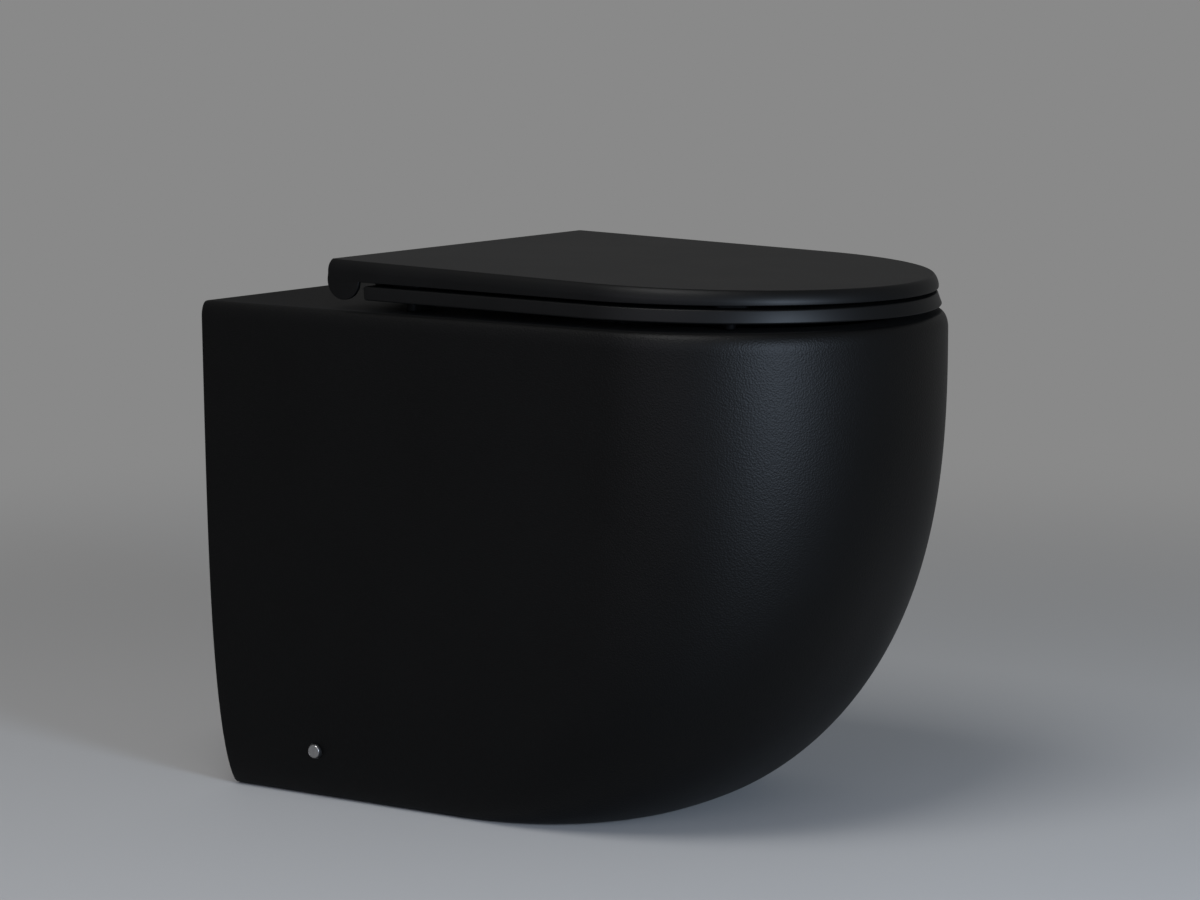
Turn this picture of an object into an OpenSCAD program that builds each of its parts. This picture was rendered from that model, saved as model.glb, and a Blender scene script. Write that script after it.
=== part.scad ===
// Back-to-wall toilet: a ceramic pan that stands on the floor with its flat back against the wall,
// with a slim lift-off seat and lid on soft-close hinges.
// Origin: the centre of the footprint box, on the floor. +Z is up, the front faces -Y, the wall is at +Y.

/* [Pan] */
// Height of the pan's deck above the floor
deck_height = 400; // [380:1:430]
// Length of the pan from the wall to its front
pan_length = 548; // [530:1:580]
// Width of the pan across the deck
pan_width = 366.8; // [356:1:390]
// Length of the straight sides at the deck, from the wall
side_straight = 388; // [370:1:400]
// Length of the straight sides at the foot, from the wall
foot_straight = 216; // [190:1:240]
// Roundness of the front's outline at the deck
front_roundness = 2.03; // [1.9:0.01:2.4]
// Roundness of the front's outline at the foot
foot_roundness = 2.33; // [1.9:0.01:2.6]
// How far each side leans in from deck to floor
side_lean = 10; // [4:1:14]
// How much further each side tucks in at the floor
side_tuck = 32; // [20:1:38]
// How far the front tucks back at the floor
front_tuck = 200; // [150:1:220]
// Horizontal reach of the deck's soft outer edge
edge_reach = 7; // [3:0.5:10]
// Height of the deck's soft outer edge
edge_drop = 13; // [8:0.5:14]
// Radius of the upright back corners
back_corner = 3; // [1:0.5:5]

/* [Casting] */
// Thickness of the skirt's ceramic wall
skirt_wall = 12; // [9:0.5:15]
// Thickness of the deck
deck_thick = 16; // [15:0.5:20]
// Thickness of the bowl's wall
bowl_wall = 10; // [8:0.5:13]
// Width of the bowl's opening
rim_width = 256; // [230:1:262]
// Distance from the wall to the back of the bowl's opening
rim_back = 200; // [195:1:215]
// Width of the deck in front of the bowl's opening
rim_front_margin = 36; // [32:1:48]
// Distance from the wall to the middle of the sump
sump_setback = 337; // [330:1:345]
// Height of the joint between bowl and trap
sump_height = 140; // [136:1:150]

/* [Waste and flush] */
// Inner radius of the trap's passage
trap_radius = 38; // [34:0.5:39]
// Wall of the trap's passage
trap_wall = 9; // [7:0.5:10]
// Radius of the trap's bends along their middle line
trap_bend = 52; // [50:0.5:56]
// Height of the waste outlet's axis
outlet_height = 180; // [175:1:185]
// Outer radius of the waste outlet's spigot
outlet_radius = 51; // [50:0.5:55]
// Length of the waste outlet's spigot
outlet_length = 46; // [40:1:48]
// Depth of the water seal in the trap
seal_depth = 50; // [40:1:55]
// Height of the flush inlet's axis
inlet_height = 332; // [326:1:340]
// Inner radius of the flush inlet
inlet_radius = 27.5; // [26:0.5:29]
// Wall of the flush inlet
inlet_wall = 8; // [6:0.5:9]
// Distance from the wall to the mouth of the flush inlet
inlet_setback = 26; // [15:1:60]
// Radius of the flush pipe that the inlet seal takes
flush_pipe_radius = 22.2; // [20:0.1:23]

/* [Seat and lid] */
// Level distance from the pan's side to the lid's top edge
lid_side_inset = 12.2; // [11:0.1:15]
// Level distance from the pan's front to the lid's top edge
lid_front_inset = 7.4; // [6:0.1:12]
// Length of the lid's straight sides, from the wall
lid_straight = 369; // [355:1:380]
// Roundness of the lid's outline at the front
lid_roundness = 1.97; // [1.9:0.01:2.4]
// Rise of the lid's top above the hinge axis at the back
lid_rise = 15.9; // [15.5:0.1:17]
// Fall of the lid's top towards the front, in degrees
lid_fall = 1.3; // [1:0.01:1.4]
// Fall of seat and lid underside towards the front, in degrees
seat_fall = 0.48; // [0.3:0.01:0.6]
// Depth of the lid's underside below the hinge axis
lid_underside_drop = 0.7; // [0.5:0.1:1]
// Reach of the soft edge round the lid, outwards from its top edge
lid_edge_reach = 4.8; // [3:0.1:5]
// Height of the soft edge round the lid
lid_edge_drop = 8.6; // [6:0.1:9]
// Thickness of the lid's top inside its rim
lid_skin = 6.5; // [5:0.5:7]
// Width of the rim round the lid's underside
lid_rim = 16; // [12:1:24]
// Thickness of the cheeks that close the lid's back corners
cheek_thick = 3.6; // [2.5:0.1:5]
// Thickness of the seat ring
seat_thick = 10.6; // [8:0.1:11]
// Gap between the seat ring and the lid
seat_gap = 2.9; // [2.5:0.1:3.2]
// How far the seat's lower edge stands outside the lid's top edge
seat_overhang = 7.4; // [6:0.1:8]
// How much further out the seat's lower edge stands than its upper edge
seat_taper = 2.9; // [1:0.1:3.5]
// Width of the opening in the seat
seat_hole_width = 226; // [200:1:240]
// Distance from the wall to the back of the seat's opening
seat_hole_back = 212; // [205:1:225]
// Width of the seat in front of its opening, from the lid's top edge
seat_front_margin = 54.6; // [46:0.1:75]
// Length of each buffer
buffer_length = 26; // [20:1:28]
// Width of each buffer
buffer_width = 9; // [7:0.5:11]

/* [Hinge] */
// Distance from the wall to the hinge axis
hinge_setback = 137.6; // [136:0.1:140]
// Height of the hinge axis above the deck
hinge_rise = 23.4; // [23:0.1:24]
// Distance between the two hinge bolts
hinge_spacing = 155; // [145:1:165]
// Radius of the lid's hinge bar and of its cheeks
roll_radius = 15.3; // [15:0.1:15.6]
// Radius of the hinge pins
pin_radius = 3.5; // [3:0.1:4]
// Radius of the rotary dampers
damper_radius = 6; // [5.5:0.1:6.3]
// Radius of the hinge block's barrel
barrel_radius = 9; // [8.6:0.1:9.2]
// Width of each hinge block
block_width = 22; // [20:0.5:24]
// Width of the seat's hinge lugs
lug_width = 13; // [10:0.5:15]
// Radius of the seat's hinge lugs
lug_radius = 8; // [7:0.1:8.4]
// Depth of each pin's end in the lid
pin_grip = 14; // [10:0.5:18]
// Length of the lid's hinge bar beyond each pin
bar_wall = 15; // [8:0.5:18]
// Widest opening angle of the lid
lid_travel = 105; // [100:1:105]
// Radius of the stud's post
post_radius = 5; // [4.5:0.1:5.2]
// Height of the stud's post
post_height = 9; // [8:0.5:9.5]
// Radius of the stud's threaded shank
shank_radius = 3; // [2.5:0.1:3.5]
// Length of the stud's threaded shank below its plate
shank_length = 48; // [44:1:56]
// Radius of the bolt holes in the deck
deck_hole_radius = 7; // [6.5:0.1:8]
// Radius of the hinge plates and pads
plate_radius = 14; // [11:0.5:15]
// Thickness of the hinge plates
plate_thick = 1.5; // [1:0.1:1.8]
// Thickness of the hinge pads
pad_thick = 1; // [0.6:0.1:1.2]
// Travel of the release buttons
button_travel = 2; // [1.5:0.1:2.2]
// Radius of the retaining clip's wire
clip_wire = 0.6; // [0.5:0.05:0.7]

/* [Floor fixing] */
// Distance from the wall to the side fixing
fixing_setback = 95.6; // [90:0.1:120]
// Height of the side fixing above the floor
fixing_height = 41.3; // [40:0.1:52]
// Radius of the side screws
side_screw_radius = 3; // [2.5:0.1:3.5]
// Radius of the side caps
cap_radius = 6; // [5.5:0.1:7]
// How far the side caps stand proud of the skirt
cap_proud = 3.2; // [2.5:0.1:4]
// Radius of the side holes in the skirt
side_hole_radius = 6.5; // [6:0.1:7.5]
// Gap between each floor bracket and the skirt's foot
bracket_gap = 0.5; // [0.3:0.1:0.9]
// Thickness of the floor brackets
bracket_thick = 5; // [4:0.5:6]
// Width of the floor brackets' feet
bracket_foot = 40; // [34:1:46]
// Length of the floor brackets
bracket_length = 64; // [56:1:80]
// Radius of the floor screw holes
floor_hole_radius = 3.5; // [3:0.1:4.5]
// Distance between the two floor screw holes of a bracket
floor_hole_pitch = 40; // [34:1:44]

/* [Fits] */
// Radial clearance of turning and sliding fits
running_fit = 0.05; // [0.03:0.01:0.08]
// Clearance between moving neighbours
side_gap = 0.4; // [0.3:0.05:0.5]
// Gap under a buffer at rest
touch_gap = 0.1; // [0.05:0.05:0.2]

/* [Hidden] */
// Shape of the pan's side and front profiles: the higher the power, the lower the tuck begins
side_power = 4.11;
side_softness = 1.754;
front_power = 2.776;
front_softness = 1.367;
// Shape of the bowl's profile
bowl_power = 2.0;
bowl_softness = 1.15;
rim_roundness = 2.15;
// Roundings
rim_edge = 5;
seat_edge = 1.6;
seat_dish = 3;
lid_edge_power = 1.53;
lid_lip = 0.8;
lid_corner = 1.5;
cheek_sink = 0.1;
cap_chamfer = 0.8;
wire_sides = 8;

deck_underside = deck_height - deck_thick;
wall_y = pan_length / 2;
rim_front = pan_length - rim_front_margin;
lid_width = pan_width - 2 * lid_side_inset;
lid_front = pan_length - lid_front_inset;
lid_setback = hinge_setback - roll_radius;
lid_underside = -lid_underside_drop;
seat_hole_front = lid_front - seat_front_margin;
hinge_y = wall_y - hinge_setback;
hinge_z = deck_height + hinge_rise;
block_x = hinge_spacing / 2;
block_inner = block_x - block_width / 2;
block_outer = block_x + block_width / 2;
lug_inner = block_inner - side_gap - lug_width;
pin_head = 1.5;
pin_head_radius = pin_radius + 1.5;
pin_inner = lug_inner - pin_head - side_gap / 2;
notch_inner = pin_inner - 1.5;
notch_outer = block_outer + side_gap;
pin_outer = notch_outer + pin_grip;
plate_top = deck_height + pad_thick + plate_thick;
post_top = plate_top + post_height;
groove_low = plate_top + 3;
groove_high = groove_low + 2;
groove_radius = post_radius - 1.2;
clip_z = (groove_low + groove_high) / 2;
clip_radius = groove_radius + clip_wire + running_fit;
block_back = barrel_radius - 1.5;
block_front = barrel_radius;
body_black = "#1b1b1d";
seat_black = "#2a2a2c";
rubber_grey = "#3c3c3e";
steel = "#b9bbbd";
chrome_tone = "#d7d9db";
nylon = "#6c6e70";

// Numbers from a to b in n equal steps
function steps(a, b, n) = [for (i = [0 : n]) a + (b - a) * i / n];

// Share of the way down from deck to floor
function depth_share(z) = min(max((deck_height - z) / deck_height, 0), 1);

// Half the pan's width at the wall, and the pan's length, at height z
function half_width(z) = let (u = depth_share(z))
    pan_width / 2 - side_lean * u
    - side_tuck * (1 - pow(max(1 - pow(u, side_power), 0), 1 / side_softness));
function length_at(z) = let (u = depth_share(z))
    pan_length - front_tuck * (1 - pow(max(1 - pow(u, front_power), 0), 1 / front_softness));
function straight_at(z) =
    side_straight + (foot_straight - side_straight) * (pan_length - length_at(z)) / front_tuck;
function roundness_at(z) = front_roundness + (foot_roundness - front_roundness) * depth_share(z);

// Wall thickness measured level, where the skin slopes
slope_step = 4;
slope_limit = 1.4;
function level_wall(z, t, high, low) =
    t * min(sqrt(1 + pow((high - low) / slope_step, 2)), slope_limit);
function side_wall(z, t) =
    level_wall(z, t, half_width(z + slope_step), half_width(z));
function front_wall(z, t) =
    level_wall(z, t, length_at(z + slope_step), length_at(z));

// Right half of a D-shaped outline, from the back corner round to the middle of the front.
// back: y of the back, a: half width, s: y where the straight side ends, f: y of the front, n: roundness,
// side_ys: the y of each point along the straight side
side_steps = 7;
front_steps = 20;
corner_steps = 3;
back_steps = 9;
function d_half(back, a, s, f, n, r, side_ys, square_corner) = concat(
    [for (i = [0 : corner_steps]) let (q = 90 - 90 * i / corner_steps)
        [square_corner ? a : a - r + r * cos(q), back - r + r * sin(q)]],
    [for (y = side_ys) [a, y]],
    [for (i = [0 : front_steps - 1]) let (q = 90 * i / front_steps)
        [a * pow(cos(q), 2 / n), s + (f - s) * pow(sin(q), 2 / n)]],
    [[0, f]]
);
function mirrored(half) = [for (i = [len(half) - 2 : -1 : 0]) [-half[i][0], half[i][1]]];
// The whole outline, with its straight back in back_spans equal spans
function d_outline(back, a, s, f, n, r, back_spans) =
    let (
        side_ys = [for (i = [1 : side_steps - 1]) back - r + (s - back + r) * i / side_steps],
        half = d_half(back, a, s, f, n, r, side_ys, false)
    )
    concat(
        half, mirrored(half),
        [for (i = [1 : 1 : back_spans - 1]) [(a - r) * (2 * i / back_spans - 1), back]]
    );

// The pan's outline at height z, drawn in by a level distance
function pan_outline(z, inset) = d_outline(
    wall_y, half_width(z) - inset, wall_y - straight_at(z),
    wall_y - length_at(z) + inset, roundness_at(z), back_corner, back_steps
);
// The lid's outline, grown outwards
function lid_outline(grow, back, r, back_spans = 1) = d_outline(
    back, lid_width / 2 + grow, wall_y - lid_straight,
    wall_y - lid_front - grow, lid_roundness, r, back_spans
);

// An oval through the angle about its middle
function oval_point(q, cy, a, b, n) =
    [a * sign(cos(q)) * pow(abs(cos(q)), 2 / n), cy + b * sign(sin(q)) * pow(abs(sin(q)), 2 / n)];
// The oval's point in the direction of p, seen from its middle
function oval_towards(p, cy, a, b, n) =
    let (dx = abs(p[0]) / a, dy = abs(p[1] - cy) / b, k = 1 / pow(pow(dx, n) + pow(dy, n), 1 / n))
    [p[0] * k, cy + (p[1] - cy) * k];

function raised(outline, z) = [for (p = outline) [p[0], p[1], z]];

// Solid from a list of rings of equally many points, each ring joined to the next one. Where the
// rings run up the outside, their points run clockwise seen from above.
// closed_up: the last ring joins the first, as round a ring-shaped body; if not, both ends are capped
module ring_solid(rings, closed_up) {
    count = len(rings[0]);
    rows = len(rings);
    spans = closed_up ? rows : rows - 1;
    points = [for (ring = rings) each ring];
    walls = [
        for (j = [0 : spans - 1], i = [0 : count - 1])
            let (
                a = j * count + i,
                b = j * count + (i + 1) % count,
                c = ((j + 1) % rows) * count + (i + 1) % count,
                d = ((j + 1) % rows) * count + i
            )
            each [[a, b, c], [a, c, d]]
    ];
    ends = closed_up ? [] : [
        [for (i = [count - 1 : -1 : 0]) i],
        [for (i = [0 : count - 1]) (rows - 1) * count + i]
    ];
    polyhedron(points = points, faces = concat(walls, ends), convexity = 10);
}

// Pan skirt, in four pieces that meet face to face: both sides, and the front in two halves

skirt_levels = 20;
skirt_split = 200;
side_columns = corner_steps + 1;
// Heights of the rings, closer together near the floor
function skirt_heights() = [for (i = [0 : skirt_levels]) deck_underside * pow(i / skirt_levels, 1.7)];

// Right half of the skirt's outline at height z, drawn in by a level distance at the side and the front
function skirt_half(z, side_in, front_in, square_corner) = d_half(
    wall_y, half_width(z) - side_in, wall_y - straight_at(z), wall_y - length_at(z) + front_in,
    roundness_at(z), back_corner, [wall_y - skirt_split], square_corner
);

// Stretch of the skirt between two columns of its outline. It is one thick sheet: its outer face down
// the outside, its inner face up the inside. Each ring runs round the wall's section on one column
module skirt_sheet(first, last) {
    heights = skirt_heights();
    outer = [for (z = heights) raised(skirt_half(z, 0, 0, false), z)];
    inner = [for (z = heights) let (t = skirt_wall)
        raised(skirt_half(z, side_wall(z, t), front_wall(z, t), true), z)];
    rows = len(heights);
    sections = [for (i = [first : last]) concat(
        [for (j = [rows - 1 : -1 : 0]) outer[j][i]],
        [for (j = [0 : rows - 1]) inner[j][i]]
    )];
    ring_solid(sections, false);
}

module skirt_side(side) {
    color(body_black)
    mirror([side > 0 ? 0 : 1, 0, 0])
        difference() {
            skirt_sheet(0, side_columns);
            translate([pan_width / 2, wall_y - fixing_setback, fixing_height])
                rotate([0, -90, 0])
                    cylinder(r = side_hole_radius, h = pan_width / 4, $fn = 48);
        }
}
module skirt_front(side) {
    color(body_black)
    mirror([side > 0 ? 0 : 1, 0, 0])
        skirt_sheet(side_columns, side_columns + 1 + front_steps);
}

// Pan deck

edge_levels = 6;
rim_levels = 4;

module pan_deck() {
    color(body_black)
    difference() {
        deck_ring();
        for (side = [-1, 1])
            translate([side * block_x, hinge_y, deck_underside - 1])
                cylinder(r = deck_hole_radius, h = deck_thick + 2, $fn = 48);
    }
}

function rim_middle() = wall_y - (rim_back + rim_front) / 2;
function rim_half_length() = (rim_front - rim_back) / 2;
function rim_loop(outline, grow, z) = [for (p = outline) let (
    q = oval_towards(p, rim_middle(), rim_width / 2 + grow, rim_half_length() + grow, rim_roundness))
    [q[0], q[1], z]];

module deck_ring() {
    base = pan_outline(deck_height - edge_drop, 0);
    outer = concat(
        [raised(pan_outline(deck_underside, 0), deck_underside)],
        [for (i = [0 : edge_levels]) let (
            q = 90 * i / edge_levels,
            z = deck_height - edge_drop * (1 - sin(q)),
            t = edge_reach * (1 - cos(q)))
            raised(pan_outline(z, t), z)]
    );
    inner = concat(
        [for (i = [0 : rim_levels]) let (
            q = 90 - 90 * i / rim_levels,
            z = deck_height - rim_edge * (1 - sin(q)))
            rim_loop(base, rim_edge * (1 - cos(q)), z)],
        [rim_loop(base, 0, deck_underside)]
    );
    ring_solid(concat(outer, inner), true);
}

// Bowl: the basin above, and the sump that narrows to the trap below

bowl_columns = 44;
bowl_rows = 14;
basin_rows = 8;

function bowl_share(z) = (deck_underside - z) / (deck_underside - sump_height);
function bowl_grow(z) =
    let (u = min(max(bowl_share(z), 0), 1)) pow(max(1 - pow(u, bowl_power), 0), 1 / bowl_softness);
function bowl_ring(z, wall) =
    let (
        g = bowl_grow(z),
        a = trap_radius + (rim_width / 2 - trap_radius) * g + wall,
        b = trap_radius + (rim_half_length() - trap_radius) * g + wall,
        cy = wall_y - sump_setback + (rim_middle() - wall_y + sump_setback) * g,
        n = 2 + (rim_roundness - 2) * g
    )
    [for (i = [0 : bowl_columns - 1]) let (
        q = oval_point(-360 * i / bowl_columns, cy, a, b, n)) [q[0], q[1], z]];
function bowl_heights() = [for (i = [0 : bowl_rows])
    deck_underside + (sump_height - deck_underside) * i / bowl_rows];

boss_radius = inlet_radius + inlet_wall;
boss_face = wall_y - rim_back + bowl_wall + 6;
slot_half_width = inlet_radius - 3;
slot_half_height = 9;
slot_reach = 60;
inlet_bore_depth = 8;

module bowl() {
    color(body_black)
    difference() {
        union() {
            bowl_band(0, basin_rows);
            inlet_boss();
        }
        inlet_bore(boss_face - inlet_bore_depth, slot_reach);
        flush_slot();
    }
}
module sump() {
    color(body_black)
    bowl_band(basin_rows, bowl_rows);
}
// Stretch of the bowl's wall between two of its heights
module bowl_band(first, last) {
    ring_solid(concat(
        [for (i = [first : last]) bowl_ring(bowl_heights()[i], 0)],
        [for (i = [last : -1 : first]) bowl_ring(bowl_heights()[i], bowl_wall_at(bowl_heights()[i]))]
    ), true);
}
// The wall blends from the bowl's to the trap's at the sump
function bowl_wall_at(z) = trap_wall + (bowl_wall - trap_wall) * bowl_grow(z);

// Round boss on the back of the bowl, trimmed to stay outside the basin
module inlet_boss() {
    difference() {
        translate([0, boss_face, inlet_height])
            rotate([90, 0, 0])
                cylinder(r = boss_radius, h = boss_face - (wall_y - rim_back) + boss_radius, $fn = 64);
        ring_solid([for (i = [0 : bowl_rows]) bowl_ring(bowl_heights()[bowl_rows - i], 1)], false);
    }
}
module inlet_bore(y, length) {
    translate([0, y + length, inlet_height])
        rotate([90, 0, 0])
            cylinder(r = inlet_radius, h = length, $fn = 64);
}
// Wide low slot that lets the flush into the bowl
module flush_slot() {
    translate([0, boss_face, inlet_height])
        rotate([90, 0, 0])
            linear_extrude(height = slot_reach)
                for (side = [-1, 1]) {
                    translate([side * (slot_half_width - slot_half_height), 0])
                        circle(r = slot_half_height, $fn = 32);
                    square([2 * (slot_half_width - slot_half_height), 2 * slot_half_height], center = true);
                }
}

// Trapway

trap_outer = trap_radius + trap_wall;
dip_invert = sump_height - trap_bend + trap_radius;
crest_height = dip_invert + seal_depth + trap_radius;
crest_drop = crest_height - outlet_height;
fall_angle = acos(1 - crest_drop / (2 * trap_bend));
rise_angle = 55;
rise_low = sump_height - trap_bend * cos(rise_angle);
rise_length = (crest_height - trap_bend * (1 - cos(rise_angle)) - rise_low) / sin(rise_angle);
sump_y = wall_y - sump_setback;
dip_centre = [sump_y + trap_bend, sump_height];
rise_start = [dip_centre[0] + trap_bend * sin(rise_angle), rise_low];
rise_end = rise_start + rise_length * [cos(rise_angle), sin(rise_angle)];
crest_y = rise_end[0] + trap_bend * sin(rise_angle);
fall_y = crest_y + 2 * trap_bend * sin(fall_angle);
outlet_end = fall_y + outlet_length;

// Middle line of the trap as [y, z, angle] stations: down from the sump, round the dip, up the rising
// limb, over the crest and level into the outlet. The angle is that of the way ahead
bend_steps = 7;
function arc_stations(centre, from, to, turn) = [for (q = steps(from, to, bend_steps))
    [centre[0] + trap_bend * cos(q), centre[1] + trap_bend * sin(q), q + turn]];
function trap_stations() = concat(
    arc_stations(dip_centre, 180, 270 + rise_angle, 90),
    arc_stations([crest_y, crest_height - trap_bend], 90 + rise_angle, 90 - fall_angle, -90),
    arc_stations([fall_y, outlet_height + trap_bend], 270 - fall_angle, 270, 90),
    [[fall_y + spigot_lap, outlet_height, 360]]
);
trap_columns = 24;
spigot_lap = 4;
spigot_relief = 1;
// Ring of radius r, square to the way ahead at a station
function station_ring(station, r) = [for (i = [0 : trap_columns - 1])
    let (q = 360 * i / trap_columns, across = r * cos(q), up = r * sin(q))
    [across, station[0] - up * sin(station[2]), station[1] + up * cos(station[2])]];

// Stretch of the trap between two of its stations
module trap_pipe(first, last) {
    stations = trap_stations();
    ring_solid(concat(
        [for (i = [first : last]) station_ring(stations[i], trap_outer)],
        [for (i = [last : -1 : first]) station_ring(stations[i], trap_radius)]
    ), true);
}
rise_station = bend_steps + 1;
// The dip that holds the water seal, with the rising limb
module trap_dip() {
    color(body_black)
    trap_pipe(0, rise_station);
}
// The crest, the fall and the spigot of the outlet
module trap_outlet() {
    color(body_black)
    union() {
        trap_pipe(rise_station, len(trap_stations()) - 1);
        translate([0, outlet_end, outlet_height])
            rotate([90, 0, 0])
                difference() {
                    cylinder(r = outlet_radius, h = outlet_length, $fn = 64);
                    translate([0, 0, -1])
                        cylinder(r = trap_radius + spigot_relief, h = outlet_length + 2, $fn = 64);
                }
    }
}

// Flush channel and its rubber seal

inlet_mouth = wall_y - inlet_setback;
seal_lip = 3;
seal_lip_inset = 2;
seal_depth_in = 30;

module flush_channel() {
    color(body_black)
    translate([0, inlet_mouth, inlet_height])
        rotate([90, 0, 0])
            difference() {
                cylinder(r = boss_radius, h = inlet_mouth - boss_face, $fn = 64);
                translate([0, 0, -1])
                    cylinder(r = inlet_radius, h = inlet_mouth - boss_face + 2, $fn = 64);
            }
}

module inlet_seal() {
    color(rubber_grey)
    translate([0, inlet_mouth + seal_lip, inlet_height])
        rotate([90, 0, 0])
            difference() {
                union() {
                    cylinder(r = boss_radius - seal_lip_inset, h = seal_lip, $fn = 64);
                    cylinder(r = inlet_radius - running_fit, h = seal_lip + seal_depth_in, $fn = 64);
                }
                translate([0, 0, -1])
                    cylinder(r = flush_pipe_radius, h = seal_lip + seal_depth_in + 2, $fn = 64);
            }
}

// Seat ring, drawn level about the hinge axis and then tipped down towards the front

seat_top = lid_underside - seat_gap;
seat_bottom = seat_top - seat_thick;
seat_top_grow = seat_overhang - seat_taper;
// The seat's top dips towards the opening, and the opening's edge is rounded
seat_dish_reach = 26;
seat_dish_power = 1.8;
hole_edge = 4;
hole_nose = (seat_top - seat_dish - seat_bottom) / 2;
hole_middle = seat_bottom + hole_nose;
// Gap between the lid's hinge bar and the seat's upper back edge
roll_gap = 4;
seat_back = hinge_setback + roll_radius + roll_gap;
// The seat's outline: flare is its growth below the upper edge, inset draws it in for a rounding
function seat_loop(flare, inset) = lid_outline(
    seat_top_grow + flare - inset, wall_y - seat_back - flare - inset, seat_edge, back_steps);
function seat_hole_middle() = wall_y - (seat_hole_back + seat_hole_front) / 2;
function seat_hole_loop(base, grow, z) = [for (p = base) let (
    q = oval_towards(p, seat_hole_middle(), seat_hole_width / 2 + grow,
        (seat_hole_front - seat_hole_back) / 2 + grow, rim_roundness))
    [q[0], q[1], z]];

// Places a part that is drawn about the hinge axis: its zero height is the axis
module tipped(angle) {
    translate([0, hinge_y, hinge_z])
        rotate([angle, 0, 0])
            translate([0, -hinge_y, 0])
                children();
}

module seat_ring() {
    color(seat_black)
    tipped(seat_fall)
    difference() {
        union() {
            seat_sheet();
            for (side = [-1, 1])
                seat_lug(side);
        }
        for (side = [-1, 1])
            pin_bore(side, lug_inner - 1, block_inner + 1);
    }
}
module seat_sheet() {
    outline = seat_loop(0, 0);
    rings = concat(
        [raised(seat_loop(seat_taper, seat_edge), seat_bottom)],
        [raised(seat_loop(seat_taper, seat_edge * 0.3), seat_bottom + seat_edge * 0.3)],
        [raised(seat_loop(seat_taper, 0), seat_bottom + seat_edge)],
        [raised(seat_loop(0, 0), seat_top - seat_edge)],
        [raised(seat_loop(0, seat_edge * 0.3), seat_top - seat_edge * 0.3)],
        [raised(seat_loop(0, seat_edge), seat_top)],
        [for (share = [0 : 0.5 : 1])
            seat_hole_loop(outline, seat_dish_reach + (hole_edge - seat_dish_reach) * share,
                seat_top - seat_dish * pow(share, seat_dish_power))],
        [for (q = [45 : 45 : 135])
            seat_hole_loop(outline, hole_edge * (1 - sin(q)), hole_middle + hole_nose * cos(q))],
        [seat_hole_loop(outline, hole_edge, seat_bottom)]
    );
    ring_solid(rings, true);
}
// Lug round the hinge pin, with an arm that runs into the back of the seat
arm_lap = 7;
module seat_lug(side) {
    x = side > 0 ? lug_inner : -lug_inner - lug_width;
    arm_top = seat_top - 0.5;
    arm_low = seat_bottom + 1.5;
    arm_reach = seat_back - hinge_setback + arm_lap;
    translate([x, hinge_y, 0])
        rotate([90, 0, 90])
            linear_extrude(height = lug_width) {
                circle(r = lug_radius, $fn = 48);
                translate([-arm_reach, arm_low])
                    square([arm_reach, arm_top - arm_low]);
            }
}
// Bore along the hinge axis between two distances from the middle
module pin_bore(side, from, to) {
    translate([side * from, hinge_y, 0])
        rotate([0, 90 * side, 0])
            cylinder(r = pin_radius + running_fit, h = to - from, $fn = 48);
}

// Buffers: rounded bars on an underside, each at an angle round the outline, and turned from the way in
module buffer(angle, inset, turn_by, top, height) {
    a = lid_width / 2 - inset;
    f = lid_front - lid_straight - inset;
    place = oval_point(angle, wall_y - lid_straight, a, f, lid_roundness);
    way_in = atan2(place[1] - (wall_y - lid_straight), place[0]);
    translate([place[0], place[1], top - height])
        rotate([0, 0, way_in + turn_by])
            buffer_bar(height);
}
// A buffer beside the back of the opening
module side_buffer(side, inset, turn_by, top, height) {
    translate([side * (lid_width / 2 - inset), wall_y - back_buffer_setback, top - height])
        rotate([0, 0, turn_by])
            buffer_bar(height);
}
module buffer_bar(height) {
    linear_extrude(height = height)
        for (end = [-1, 1]) {
            translate([end * (buffer_length - buffer_width) / 2, 0])
                circle(r = buffer_width / 2, $fn = 32);
            square([buffer_length - buffer_width, buffer_width], center = true);
        }
}
front_buffer_angle = 217;
back_buffer_setback = 190;
// Level distance from the lid's top edge to the outer ends of the seat's buffers
buffer_margin = 11;

module seat_buffers() {
    inset = buffer_margin + buffer_length / 2;
    color(rubber_grey)
    difference() {
        tipped(seat_fall) {
            for (angle = [front_buffer_angle, 540 - front_buffer_angle])
                buffer(angle, inset, 0, seat_bottom, hinge_rise);
            for (side = [-1, 1])
                side_buffer(side, inset, 0, seat_bottom, hinge_rise);
        }
        translate([-pan_width, -pan_length, 0])
            cube([2 * pan_width, 2 * pan_length, deck_height + touch_gap]);
    }
}

// Lid: a wedge with a rim. Under its back, a round bar holds the hinge pins, and thin cheeks of the same
// section close both corners

lid_back_y = wall_y - lid_setback;
wedge_angle = lid_fall - seat_fall;
function lid_top_at(y) = lid_rise - (lid_back_y - y) * tan(wedge_angle);
function lid_ring(grow, drop) =
    [for (p = lid_outline(grow, lid_back_y, lid_corner)) [p[0], p[1], lid_top_at(p[1]) - drop]];

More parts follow.
